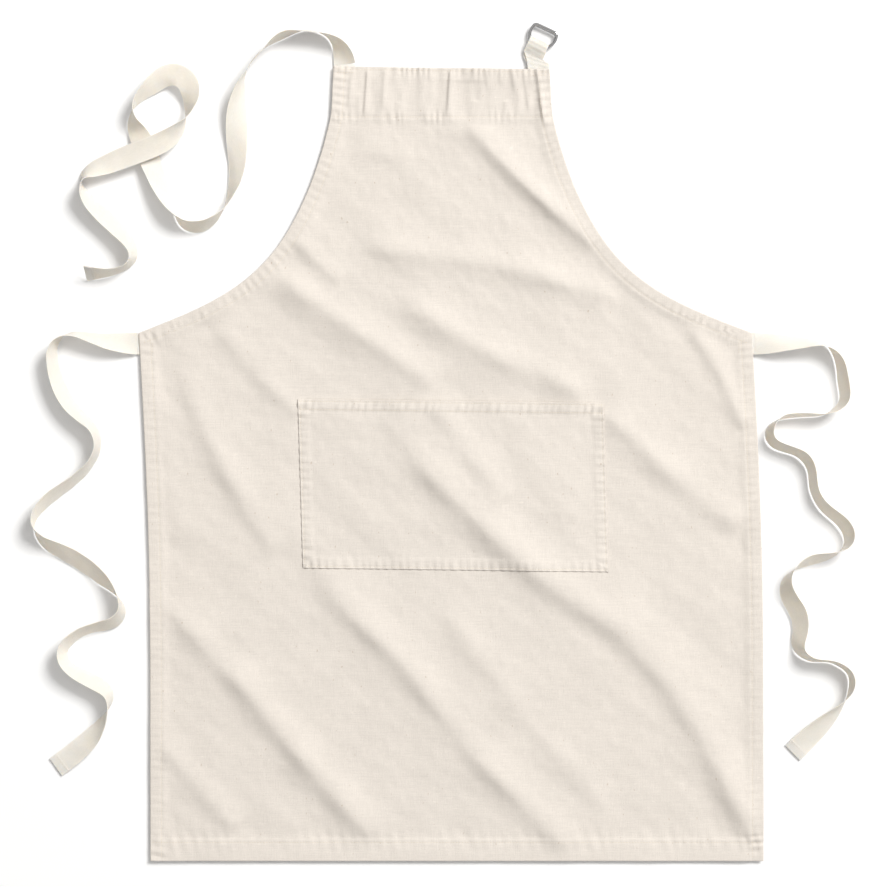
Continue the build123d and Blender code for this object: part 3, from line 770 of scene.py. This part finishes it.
def tape_grid(at, line, roll, half, seed, raise_by=0.0):
    """The face of a tape as a grid, with a slight uneven curl across it."""
    across, face = tape_axes(line, roll)
    share = np.array([-1, -0.93, -0.75, -0.5, -0.25, 0, 0.25, 0.5, 0.75, 0.93, 1])
    curl = 0.5 * mm * uneven(at, 0 * at, 90 * mm, seed)
    ripple = 0.22 * mm * uneven(at[:, None], 14 * mm * share[None], 22 * mm, seed + 1)
    bow = curl[:, None] * (share**2)[None] + ripple
    grid = line[:, None] + across[:, None] * (share * half)[None, :, None]
    grid = grid + face[:, None] * (bow + raise_by)[:, :, None]
    grid[:, :, 2] = np.maximum(grid[:, :, 2], tape_lowest)
    uv = np.stack(np.broadcast_arrays(share[None] * half, at[:, None]), axis=-1)
    return grid, uv


def build_tape(name, stations, end_node, seed, material):
    """One free tape, with its turned end and the stitches across it."""
    settings = bpy.context.scene.smock_tape
    half = settings.tape_width / 2
    thickness = settings.tape_thickness
    at, line, roll = tape_line(stations, half)
    grid, uv = tape_grid(at, line, roll, half, seed)
    tape = slab(name + "_tape", grid[:, ::-1], thickness, uv[:, ::-1])
    finish_piece(tape, material, "tape", name)

    end_length = 11 * mm
    keep = at > at[-1] - end_length
    face_up = math.cos(roll[-1]) > 0
    rise = thickness + 0.1 * mm if face_up else -(thickness + 0.15 * mm)
    ends, end_uv = tape_grid(at[keep], line[keep], roll[keep], half - 0.2 * mm, seed, rise)
    fold = slab(name + "_end_fold", ends[:, ::-1], thickness, end_uv[:, ::-1])
    finish_piece(fold, material, "tape", end_node)

    across, face = tape_axes(line, roll)
    row = len(at) - 1 - int((end_length - 2 * mm) / tape_step)
    outward = face[row] if face_up else -face[row]
    middle = line[row] + outward * (abs(rise) + thickness * (0.15 if face_up else 1.1))
    reach = across[row] * (half - 1.5 * mm)
    row_points = evenly(np.array([middle - reach, middle + reach]), 1 * mm)
    stitches = stitch_row(name + "_end_stitches", [row_points])
    finish_piece(stitches, bpy.data.materials["sewing_thread"], "thread")


# ---------------------------------------------------------------- stitches
def stitch_row(name, lines):
    """Stitches laid one after another along lines that run just over the cloth."""
    settings = bpy.context.scene.smock_thread
    radius = settings.thread_thickness / 2
    pitch = settings.stitch_length + settings.stitch_gap
    sides = 6
    reach = np.array([-0.5, -0.4, -0.17, 0.17, 0.4, 0.5])
    swell = np.array([0.25, 0.85, 1.0, 1.0, 0.85, 0.25])
    dip = np.array([-1.6, -0.3, 0.0, 0.0, -0.3, -1.6]) * radius
    draw = np.random.default_rng(len(name))
    starts, ends = [], []
    for line in lines:
        along = distance_along(line)
        count = max(1, int(along[-1] / pitch))
        middle = (np.arange(count) + 0.5) * along[-1] / count
        middle = middle + draw.normal(0, 0.06 * pitch, count)
        half = settings.stitch_length * draw.uniform(0.44, 0.52, count)
        starts.append(at_distances(line, along, middle - half))
        ends.append(at_distances(line, along, middle + half))
    start = np.concatenate(starts)
    end = np.concatenate(ends)
    heading = unit(end - start)
    aside = unit(np.stack([-heading[:, 1], heading[:, 0], 0 * heading[:, 0]], axis=1))
    above = np.cross(heading, aside)
    angle = np.arange(sides) * tau / sides
    ring = np.cos(angle)[:, None, None] * aside[None] + np.sin(angle)[:, None, None] * above[None]
    points = (
        ((start + end) / 2)[:, None, None]
        + (end - start)[:, None, None] * reach[None, :, None, None]
        + above[:, None, None] * dip[None, :, None, None]
        + radius * swell[None, :, None, None] * ring.transpose(1, 0, 2)[:, None]
    )
    rings = len(reach)
    one = []
    for i in range(rings - 1):
        for k in range(sides):
            after = (k + 1) % sides
            one.append((i * sides + k, i * sides + after, (i + 1) * sides + after, (i + 1) * sides + k))
    for base, order in ((0, 1), ((rings - 1) * sides, -1)):
        for quad in ((0, 3, 2, 1), (0, 5, 4, 3)):
            one.append(tuple(base + corner for corner in quad[::order]))
    first = np.arange(len(start)) * rings * sides
    quads = (np.array(one)[None] + first[:, None, None]).reshape(-1, 4)
    return make_mesh(name, points.reshape(-1, 3), quads)


def on_cloth(line):
    """A line in plan, laid just over the front of the cloth."""
    return at_height(line, cloth_height(line[:, 0], line[:, 1]) + stitch_lift)


def straight(start, end):
    """A straight line in plan, in short steps."""
    return evenly(np.array([start, end], float), 1.5 * mm)


def inside_line(line, distance, side):
    """A side edge's line, moved in from the edge."""
    heading = unit(np.gradient(line, axis=0))
    return line + np.stack([heading[:, 1], -heading[:, 0]], axis=1) * distance * -side


def inside_ends(y, inset):
    """Two places at a height in plan, that far in from the left and the right edge of the cloth."""
    return (across_at(left_line, y) + inset, y), (across_at(right_line, y) - inset, y)


# ---------------------------------------------------------------- panel and hems
def edge_steps(step, stop):
    """Distances in from an edge: very close at first, for the cloth's turned edge, then even."""
    return np.concatenate([np.array([0, 0.1, 0.32, 0.75, 1.5]) * mm, np.arange(2.6 * mm, stop, step)])


def panel_grid():
    """The front of the apron as a grid in plan, from the foot up, with its flat-cloth coordinates."""
    low = edge_steps(1.3 * mm, 32 * mm)
    tall = (left_line[-1, 1] + right_line[-1, 1]) / 2 - foot_y
    high = edge_steps(1.25 * mm, 66 * mm)
    waist = 92 * mm - foot_y
    shoulder = 214 * mm - foot_y
    middle = [
        np.arange(low[-1] + 3 * mm, waist, 3.1 * mm),
        np.arange(waist, shoulder, 1.7 * mm),
        np.arange(shoulder, tall - high[-1] - 1.5 * mm, 2.7 * mm),
    ]
    rise = np.concatenate([low, *middle, tall - high[::-1]]) / tall
    left_y = foot_y + rise * (left_line[-1, 1] - foot_y)
    right_y = foot_y + rise * (right_line[-1, 1] - foot_y)
    left_x = across_at(left_line, left_y)
    right_x = across_at(right_line, right_y)
    width = (right_x - left_x)[:, None]
    near = edge_steps(1.25 * mm, 31 * mm)
    share = np.linspace(0, 1, 190)[None, 1:-1]
    inner = near[-1] + (width - 2 * near[-1]) * share
    first = np.broadcast_to(near, (len(rise), len(near)))
    across = np.concatenate([first, inner, width - near[::-1][None]], axis=1)
    x = left_x[:, None] + across
    y = left_y[:, None] + (right_y - left_y)[:, None] * across / width
    return x, y


def build_panel(material):
    """The apron's front, one sheet of canvas."""
    x, y = panel_grid()
    plan = np.stack([x, y], axis=-1)
    thickness = bpy.context.scene.smock_cloth.canvas_thickness
    panel = slab("front_cloth", at_height(plan, cloth_height(x, y)), thickness, plan)
    finish_piece(panel, material, "canvas", "apron_panel")


def hem_strip(name, plan, replaced, material, turned=True):
    """A ply of cloth behind the panel, over a grid of places in plan; turned swaps its warp and weft."""
    thickness = bpy.context.scene.smock_cloth.canvas_thickness
    height = cloth_height(plan[..., 0], plan[..., 1]) - thickness - hem_gap
    front = at_height(plan, np.maximum(height, hem_ply + 0.05 * mm))
    if np.cross(front[0, 1] - front[0, 0], front[1, 0] - front[0, 0])[2] < 0:
        front = front[::-1]
        plan = plan[::-1]
    strip = slab(name, front, hem_ply, plan[..., ::-1] if turned else plan)
    finish_piece(strip, material, "canvas", replaced)


def between(near, far, rows):
    """A grid of places in plan, in rows from one line to another."""
    share = np.linspace(0, 1, rows)[:, None, None]
    return near[None] * (1 - share) + far[None] * share


def build_hems(material):
    """The turned hems and the bib's facing, behind the panel."""
    for word, line, side in (("left", left_line, -1), ("right", right_line, 1)):
        edge = inside_line(line, turn_in, side)
        inner = inside_line(line, hem_width, side)
        y = line[:, 1]
        low = (y > foot_y + foot_hem + 1 * mm) & (y < side_hem_high.y)
        high = (y > waist_corner[1] + 1 * mm) & (y < facing_low.y - 1 * mm)
        for place, part in (("side", low), ("armhole", high)):
            plan = between(edge[part][::2], inner[part][::2], 9)
            hem_strip(f"{word}_{place}_fold", plan, f"{word}_{place}_hem", material)

    near = straight(*inside_ends(foot_y + turn_in, turn_in))
    far = near + np.array([0, foot_hem - turn_in])
    hem_strip("foot_fold", between(near, far, 14), "bottom_hem", material)

    rows = []
    for share in np.linspace(0, 1, 40):
        left_y = facing_low.y + share * (left_line[-1, 1] - turn_in - facing_low.y)
        right_y = facing_low.y + share * (right_line[-1, 1] - turn_in - facing_low.y)
        left = across_at(left_line, left_y) + turn_in
        right = across_at(right_line, right_y) - turn_in
        rows.append(np.linspace((left, left_y), (right, right_y), 150))
    hem_strip("bib_facing_cloth", np.array(rows), "bib_facing", material, turned=False)


def build_anchors(material):
    """The sewn ends of the tapes, flat behind the cloth."""
    for node in ("neck_strap_anchor", "left_tie_anchor", "right_tie_anchor", "ring_tab_anchor"):
        low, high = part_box(node)
        x = np.linspace(low.x, high.x, 8)
        y = np.linspace(low.y, high.y, 12)
        grid = np.stack(np.meshgrid(x, y), axis=-1)
        ripple = 0.04 * mm * uneven(grid[..., 0], grid[..., 1], 12 * mm, len(node))
        rise = 2.2 * mm if "tie" in node else 0.9 * mm
        anchor = slab(node.replace("anchor", "sewn_end"), at_height(grid, rise + ripple), 0.5 * mm, grid)
        finish_piece(anchor, material, "tape", node)


# ---------------------------------------------------------------- pocket
def pocket_corners():
    """The pocket's corners in plan, the mouth's two then the foot's two, with its width and its depth."""
    names = ("pocket_left_edge", "pocket_right_edge", "pocket_bottom_edge")
    points = np.concatenate([node_plan(name) for name in names])
    ways = ((-1, 1), (1, 1), (-1, -1), (1, -1))
    corners = [points[np.argmax(points @ np.array(way))] for way in ways]
    return corners, np.linalg.norm(corners[1] - corners[0]), np.linalg.norm(corners[2] - corners[0])


def pocket_plan(across, down):
    """A place on the pocket in plan, from shares of its width and depth."""
    a, b, c, d = pocket_corners()[0]
    across = np.asarray(across, float)[..., None]
    down = np.asarray(down, float)[..., None]
    return (a * (1 - across) + b * across) * (1 - down) + (c * (1 - across) + d * across) * down


def pocket_height(across, down, plan):
    """The height of the pocket's front."""
    pucker = bpy.context.scene.smock_cloth.pucker_height
    _, wide, deep = pocket_corners()
    side_far = np.minimum(across, 1 - across) * wide
    foot_far = (1 - down) * deep
    mouth_far = down * deep
    sewn = np.minimum(side_far, foot_far)
    slack = smoothstep(sewn, 4 * mm, 60 * mm)
    height = cloth_height(plan[..., 0], plan[..., 1], small=0.0) + (0.95 + 0.7 * slack) * mm
    height += 0.9 * mm * bell(mouth_far, 30 * mm) * smoothstep(side_far, 4 * mm, 60 * mm)
    height += 0.35 * mm * slack * uneven(plan[..., 0], plan[..., 1], 60 * mm, 41)
    hemmed = smoothstep(sewn, 15 * mm, 9 * mm)
    height += mm * np.maximum(0.55 * hemmed, 0.85 * smoothstep(mouth_far, 13.5 * mm, 11 * mm))
    run = np.where(side_far < foot_far, down * deep, across * wide + 0.4)
    beat = puckers(run, 9 * mm, 2.2, 45 * mm, 42)
    height += pucker * 0.8 * mm * beat * bell(sewn - 3 * mm, 8 * mm)
    run = across * wide
    beat = puckers(run, 9 * mm, 1.4, 50 * mm, 43, mouth_far / (5 * mm))
    beat *= patchy(run, 0.7, 0.5, 40 * mm, 44, 0.1, 1.3)
    height += pucker * 1.15 * mm * beat * bell(mouth_far - 7 * mm, 6 * mm)
    height -= 0.4 * mm * bell(mouth_far - pocket_seam_in, 1.2 * mm)
    height -= 0.45 * mm * bell(mouth_far - 11.4 * mm, 1.2 * mm)
    height -= 0.4 * mm * bell(sewn - pocket_seam_in, 1.2 * mm)
    return height - edge_drop(np.minimum(sewn, mouth_far), 0.8 * mm)


def build_pocket(material):
    """The pocket's front with its turned sides, and the hem at its mouth."""
    _, wide, deep = pocket_corners()
    thickness = bpy.context.scene.smock_cloth.canvas_thickness
    near = edge_steps(1.2 * mm, 22 * mm)
    shares = []
    for size in (wide, deep):
        count = int((size - 2 * near[-1]) / (2.4 * mm))
        inner = np.linspace(near[-1], size - near[-1], count)[1:-1]
        shares.append(np.concatenate([near, inner, size - near[::-1]]) / size)
    across, down = np.meshgrid(shares[0], shares[1][::-1])
    plan = pocket_plan(across, down)
    front = at_height(plan, pocket_height(across, down, plan))
    pocket = slab("pocket_cloth", front, thickness, plan + np.array([0.31, 0.17]))
    edges = ("pocket_left_edge", "pocket_right_edge", "pocket_bottom_edge")
    finish_piece(pocket, material, "canvas", "pocket_panel", *edges)

    inset = 5 * mm / wide
    rows = np.linspace(0.7 * mm, 12 * mm, 9)[::-1] / deep
    across, down = np.meshgrid(np.linspace(inset, 1 - inset, 180), rows)
    plan = pocket_plan(across, down)
    front = at_height(plan, pocket_height(across, down, plan) - thickness - 0.05 * mm)
    hem = slab("pocket_mouth_fold", front, 0.45 * mm, plan)
    finish_piece(hem, material, "canvas", "pocket_mouth_hem")


# ---------------------------------------------------------------- seams
def pocket_row(across, down):
    """A row on the pocket's front, from shares of its width and depth."""
    plan = pocket_plan(across, down)
    return at_height(plan, pocket_height(across, down, plan) + stitch_lift)


def build_seams(material):
    """Every row of stitches on the front."""
    seams = {}
    waist = waist_corner[1]
    for word, line, side in (("left", left_line, -1), ("right", right_line, 1)):
        inner = inside_line(line, seam_in, side)
        y = line[:, 1]
        low = (y > foot_y + 4 * mm) & (inner[:, 1] < waist - 6 * mm) & (y < waist)
        high = (y > waist) & (inner[:, 1] < top_at(inner[:, 0]) - 2 * mm)
        seams[word + "_side_stitching"] = [on_cloth(inner[low])]
        seams[word + "_armhole_stitching"] = [on_cloth(inner[high])]
    foot_ends = inside_ends(foot_y + foot_hem - 2 * mm, 2 * mm)
    facing_ends = inside_ends(facing_low.y + 2 * mm, 3 * mm)
    top_ends = left_line[-1] + [3 * mm, -top_seam_in], right_line[-1] + [-3 * mm, -top_seam_in]
    seams["bottom_hem_stitching"] = [on_cloth(straight(*foot_ends))]
    seams["bib_facing_stitching"] = [on_cloth(straight(*facing_ends))]
    seams["bib_top_stitching"] = [on_cloth(straight(*top_ends))]
    for name in ("left_tie_stitching", "right_tie_stitching"):
        low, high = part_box(name)
        x = (low.x + high.x) / 2
        seams[name] = [on_cloth(straight((x, low.y), (x, high.y)))]
    for name in ("neck_strap_stitching", "ring_tab_stitching"):
        low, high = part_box(name)
        y = (low.y + high.y) / 2
        seams[name] = [on_cloth(straight((low.x, y), (high.x, y)))]

    _, wide, deep = pocket_corners()
    fall = np.linspace(0.3 * mm, deep - pocket_seam_in, 120) / deep
    run = np.linspace(pocket_seam_in, wide - pocket_seam_in, 220) / wide
    seams["pocket_edge_stitching"] = [
        pocket_row(0 * fall + pocket_seam_in / wide, fall),
        pocket_row(run, 0 * run + 1 - pocket_seam_in / deep),
        pocket_row(0 * fall + 1 - pocket_seam_in / wide, fall[::-1]),
    ]
    mouth_rows = (pocket_seam_in, 11.2 * mm)
    seams["pocket_mouth_stitching"] = [pocket_row(run, 0 * run + far / deep) for far in mouth_rows]
    for name, lines in seams.items():
        stitches = stitch_row(name.replace("stitching", "stitches"), lines)
        finish_piece(stitches, material, "thread", name)


# ---------------------------------------------------------------- tab and rings
tab_middle = sum(corner.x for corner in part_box("ring_tab_anchor")) / 2
ring_swing = next(joint for joint in frame["joints"] if joint["name"] == "ring_swing")
bow_place = Vector(ring_swing["pos_m"])
tab_across = Vector(ring_swing["axis"]).normalized()
tab_out = Vector((0, 0, 1)).cross(tab_across)


def by_ring(across, out, height):
    """A point measured from the lower ring's bow: across the tab, out along it, and up from z = 0."""
    place = bow_place + tab_across * across + tab_out * out
    return (place.x, place.y, height)


def through(stations, steps):
    """A smooth run of points through stations, for ribbons that are given by pairs of edge points."""
    stations = np.asarray(stations, float)
    ends = [2 * stations[0] - stations[1], *stations, 2 * stations[-1] - stations[-2]]
    fine = []
    for a, b, c, d in zip(ends, ends[1:], ends[2:], ends[3:]):
        t = np.linspace(0, 1, steps, endpoint=False)[:, None]
        curve = 2 * b + (c - a) * t + (2 * a - 5 * b + 4 * c - d) * t**2 + (3 * b - a - 3 * c + d) * t**3
        fine.append(0.5 * curve)
    fine.append(stations[-1:])
    return np.concatenate(fine)


def ribbon(name, left, right, thickness, seed):
    """A ribbon between two edge lines, rows of points along it."""
    left = through(left, 6)
    right = through(right, 6)
    share = np.linspace(0, 1, 15)[None, :, None]
    grid = left[:, None] * (1 - share) + right[:, None] * share
    along = distance_along(grid[:, 7])
    grid[..., 2] += 0.12 * mm * uneven(grid[..., 0], grid[..., 1], 9 * mm, seed)
    calm = smoothstep(along, 0, 8 * mm) * smoothstep(along, along[-1], along[-1] - 6 * mm)
    wrinkle = np.sin(tau * along[:, None] / (5.5 * mm) + 1.6 * share[..., 0])
    grid[..., 2] += 0.13 * mm * wrinkle * calm[:, None]
    uv = np.stack(np.broadcast_arrays(24 * mm * (share[..., 0] - 0.5), along[:, None]), axis=-1)
    return slab(name, grid, thickness, uv)


def build_tab(material):
    """The tab's two plies, folded over at a slant, and the loop that holds the rings."""
    half = 11.6 * mm
    thickness = 0.6 * mm
    top = top_at(tab_middle)
    left_x = tab_middle - half
    right_x = tab_middle + half
    heights = {"lower": (2.5, 2.6, 2.0, 1.4), "upper": (3.4, 3.7, 3.9, 4.2)}
    for seed, (word, rises) in enumerate(heights.items(), 51):
        low, mid, crease, start = (rise * mm for rise in rises)
        shift = -2.2 * mm if word == "lower" else 0.0
        left = [
            (left_x, top - 6 * mm, low), (left_x - 0.8 * mm, top + 5 * mm, mid),
            (left_x - 2.6 * mm + shift, top + 13.5 * mm, crease), by_ring(-half, -9.5 * mm, start),
        ]
        right = [
            (right_x, top - 6 * mm, low), (right_x, top + 1 * mm, mid),
            (right_x - 0.3 * mm, top + 6 * mm, crease), by_ring(half, -9.5 * mm, start),
        ]
        ply = ribbon(f"ring_tab_{word}_ply", left, right, thickness, seed)
        replaced = ["ring_tab"] if word == "upper" else []
        finish_piece(ply, material, "tape", *replaced, body=None)
        ends = [(tab_middle, top + beyond, 0) for beyond in (-1 * mm, 2.5 * mm)]
        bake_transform(ply)

    # The loop's profile: out along the tab, up from the surface, and how much of its half width is lost.
    profile = [
        (-9.5, 1.4, 0), (-5.5, 0.9, 0), (0.0, 0.72, 0.3), (4.6, 0.9, 0.4), (7.6, 2.1, 0.5),
        (9.2, 4.4, 0.6), (8.2, 7.4, 0.5), (4.8, 8.9, 0.3), (0.5, 8.5, 0.2), (-3.0, 7.2, 0),
        (-6.4, 5.5, 0), (-9.5, 4.2, 0),
    ]
    left = [by_ring(lost * mm - half, out * mm, up * mm) for out, up, lost in profile]
    right = [by_ring(half - lost * mm, out * mm, up * mm) for out, up, lost in profile]
    loop = ribbon("ring_tab_fold", right, left, thickness, 53)
    finish_piece(loop, material, "tape", "ring_tab_loop", body=None)
    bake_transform(loop)


def build_rings(material):
    """The two D-rings keep their CAD shape and get the plating."""
    for node in ("lower_d_ring", "upper_d_ring"):
        ring = frame["nodes"][node]
        ring.data.materials.clear()
        ring.data.materials.append(material)


# ---------------------------------------------------------------- the add-on
def colour_setting(name, description, default):
    """A setting that is a colour."""
    return bpy.props.FloatVectorProperty(
        name=name, description=description, subtype="COLOR", size=3, default=default, min=0, max=1)


def size_setting(name, description, default, low, high):
    """A setting that is a length in metres."""
    return bpy.props.FloatProperty(
        name=name, description=description, default=default, min=low, max=high, unit="LENGTH",
        precision=5)


def amount_setting(name, description, default, high):
    """A setting that is a plain number, from nothing up."""
    return bpy.props.FloatProperty(name=name, description=description, default=default, min=0, max=high)


class SmockClothSettings(bpy.types.PropertyGroup):
    canvas_colour: colour_setting("Canvas colour", "Colour of the undyed canvas", (0.785, 0.732, 0.675))
    fleck_colour: colour_setting("Fleck colour", "Colour of the seed flecks", (0.42, 0.30, 0.19))
    canvas_thickness: size_setting("Canvas thickness", "Thickness of one ply", 0.0006, 0.0002, 0.002)
    thread_pitch: size_setting("Thread pitch", "From one thread to the next", 0.0007, 0.0002, 0.003)
    fold_height: amount_setting("Fold height", "Scales the broad folds across the front", 1.0, 2)
    pucker_height: amount_setting("Pucker height", "Scales the puckers along the seams", 0.7, 2)


class SmockTapeSettings(bpy.types.PropertyGroup):
    tape_colour: colour_setting("Tape colour", "Colour of all the tapes", (0.885, 0.835, 0.765))
    tape_width: size_setting("Tape width", "Width of the strap and the ties", 0.024, 0.01, 0.05)
    tape_thickness: size_setting("Tape thickness", "Thickness of the tape", 0.0006, 0.0002, 0.002)
    rib_pitch: size_setting("Rib pitch", "From one twill rib to the next", 0.0011, 0.0003, 0.004)


class SmockThreadSettings(bpy.types.PropertyGroup):
    thread_colour: colour_setting("Thread colour", "Colour of the sewing thread", (0.78, 0.71, 0.60))
    thread_thickness: size_setting("Thread thickness", "Thickness of the thread", 0.00052, 0.0002, 0.002)
    stitch_length: size_setting("Stitch length", "Length of one stitch on the front", 0.0025, 0.001, 0.01)
    stitch_gap: size_setting("Stitch gap", "Distance between two stitches", 0.0007, 0.0002, 0.005)


class SmockRingSettings(bpy.types.PropertyGroup):
    plate_colour: colour_setting("Plating colour", "Colour of the rings' plating", (0.5, 0.5, 0.51))


class SmockStageSettings(bpy.types.PropertyGroup):
    floor_colour: colour_setting("Floor colour", "Colour of the surface below", (0.975, 0.985, 1.0))
    air_strength: amount_setting("Air strength", "Brightness of the even light from all round", 0.64, 3)
    key_power: amount_setting("Key power", "Power of the light from the upper right, in watts", 615, 3000)
    view_size: size_setting("View size", "Height of the view at the surface", 0.9935, 0.1, 5)
    view_height: size_setting("View height", "Height of the camera", 3.2, 0.5, 20)
    view_centre: bpy.props.FloatVectorProperty(
        name="View centre", description="Place that the camera looks down on", size=2,
        default=(-0.0102, -0.0017), unit="LENGTH")


class SMOCK_OT_stage(bpy.types.Operator):
    """Make the floor, the lights and the camera"""
    bl_idname = "smock.stage"
    bl_label = "Stage"

    def execute(self, context):
        build_stage()
        return {"FINISHED"}


class SMOCK_OT_tapes(bpy.types.Operator):
    """Make the neck strap and the two waist ties"""
    bl_idname = "smock.tapes"
    bl_label = "Strap and ties"

    def execute(self, context):
        tape = tape_material()
        thread_material()
        build_tape("neck_strap", strap_stations, "neck_strap_end_hem", 61, tape)
        build_tape("left_waist_tie", left_tie_stations, "left_tie_end_hem", 63, tape)
        build_tape("right_waist_tie", right_tie_stations, "right_tie_end_hem", 65, tape)
        build_anchors(tape)
        return {"FINISHED"}


class SMOCK_OT_cloth(bpy.types.Operator):
    """Make the apron's front and the turned hems behind it"""
    bl_idname = "smock.cloth"
    bl_label = "Front and hems"

    def execute(self, context):
        canvas = canvas_material()
        build_panel(canvas)
        build_hems(canvas)
        return {"FINISHED"}


class SMOCK_OT_pocket(bpy.types.Operator):
    """Make the front pocket"""
    bl_idname = "smock.pocket"
    bl_label = "Pocket"

    def execute(self, context):
        build_pocket(bpy.data.materials["plain_weave_canvas"])
        return {"FINISHED"}


class SMOCK_OT_seams(bpy.types.Operator):
    """Make every row of stitches"""
    bl_idname = "smock.seams"
    bl_label = "Seams"

    def execute(self, context):
        build_seams(bpy.data.materials["sewing_thread"])
        return {"FINISHED"}


class SMOCK_OT_rings(bpy.types.Operator):
    """Make the tab and finish the D-rings"""
    bl_idname = "smock.rings"
    bl_label = "Tab and rings"

    def execute(self, context):
        build_tab(bpy.data.materials["twill_tape"])
        build_rings(ring_material())
        return {"FINISHED"}


class SMOCK_PT_panel(bpy.types.Panel):
    """Lists the steps that make the apron"""
    bl_idname = "SMOCK_PT_panel"
    bl_label = "Artist smock apron"
    bl_space_type = "VIEW_3D"
    bl_region_type = "UI"
    bl_category = "Smock"

    def draw(self, context):
        layout = self.layout
        for group in ("smock_cloth", "smock_tape", "smock_thread", "smock_rings", "smock_stage"):
            settings = getattr(context.scene, group)
            for name in settings.bl_rna.properties.keys():
                if name not in ("rna_type", "name"):
                    layout.prop(settings, name)
        for operator in operators:
            layout.operator(operator.bl_idname)


setting_groups = {
    "smock_cloth": SmockClothSettings,
    "smock_tape": SmockTapeSettings,
    "smock_thread": SmockThreadSettings,
    "smock_rings": SmockRingSettings,
    "smock_stage": SmockStageSettings,
}
operators = (
    SMOCK_OT_stage, SMOCK_OT_tapes, SMOCK_OT_cloth, SMOCK_OT_pocket, SMOCK_OT_seams, SMOCK_OT_rings,
)


def register():
    """Registers the add-on's classes and settings."""
    for name, group in setting_groups.items():
        bpy.utils.register_class(group)
        setattr(bpy.types.Scene, name, bpy.props.PointerProperty(type=group))
    for operator in operators:
        bpy.utils.register_class(operator)
    bpy.utils.register_class(SMOCK_PT_panel)


def unregister():
    """Removes the add-on's classes and settings."""
    bpy.utils.unregister_class(SMOCK_PT_panel)
    for operator in reversed(operators):
        bpy.utils.unregister_class(operator)
    for name, group in setting_groups.items():
        delattr(bpy.types.Scene, name)
        bpy.utils.unregister_class(group)


def main():
    """Makes the whole apron."""
    register()
    bpy.ops.smock.stage()
    bpy.ops.smock.tapes()
    bpy.ops.smock.cloth()
    bpy.ops.smock.pocket()
    bpy.ops.smock.seams()
    bpy.ops.smock.rings()


if __name__ == "__main__":
    main()
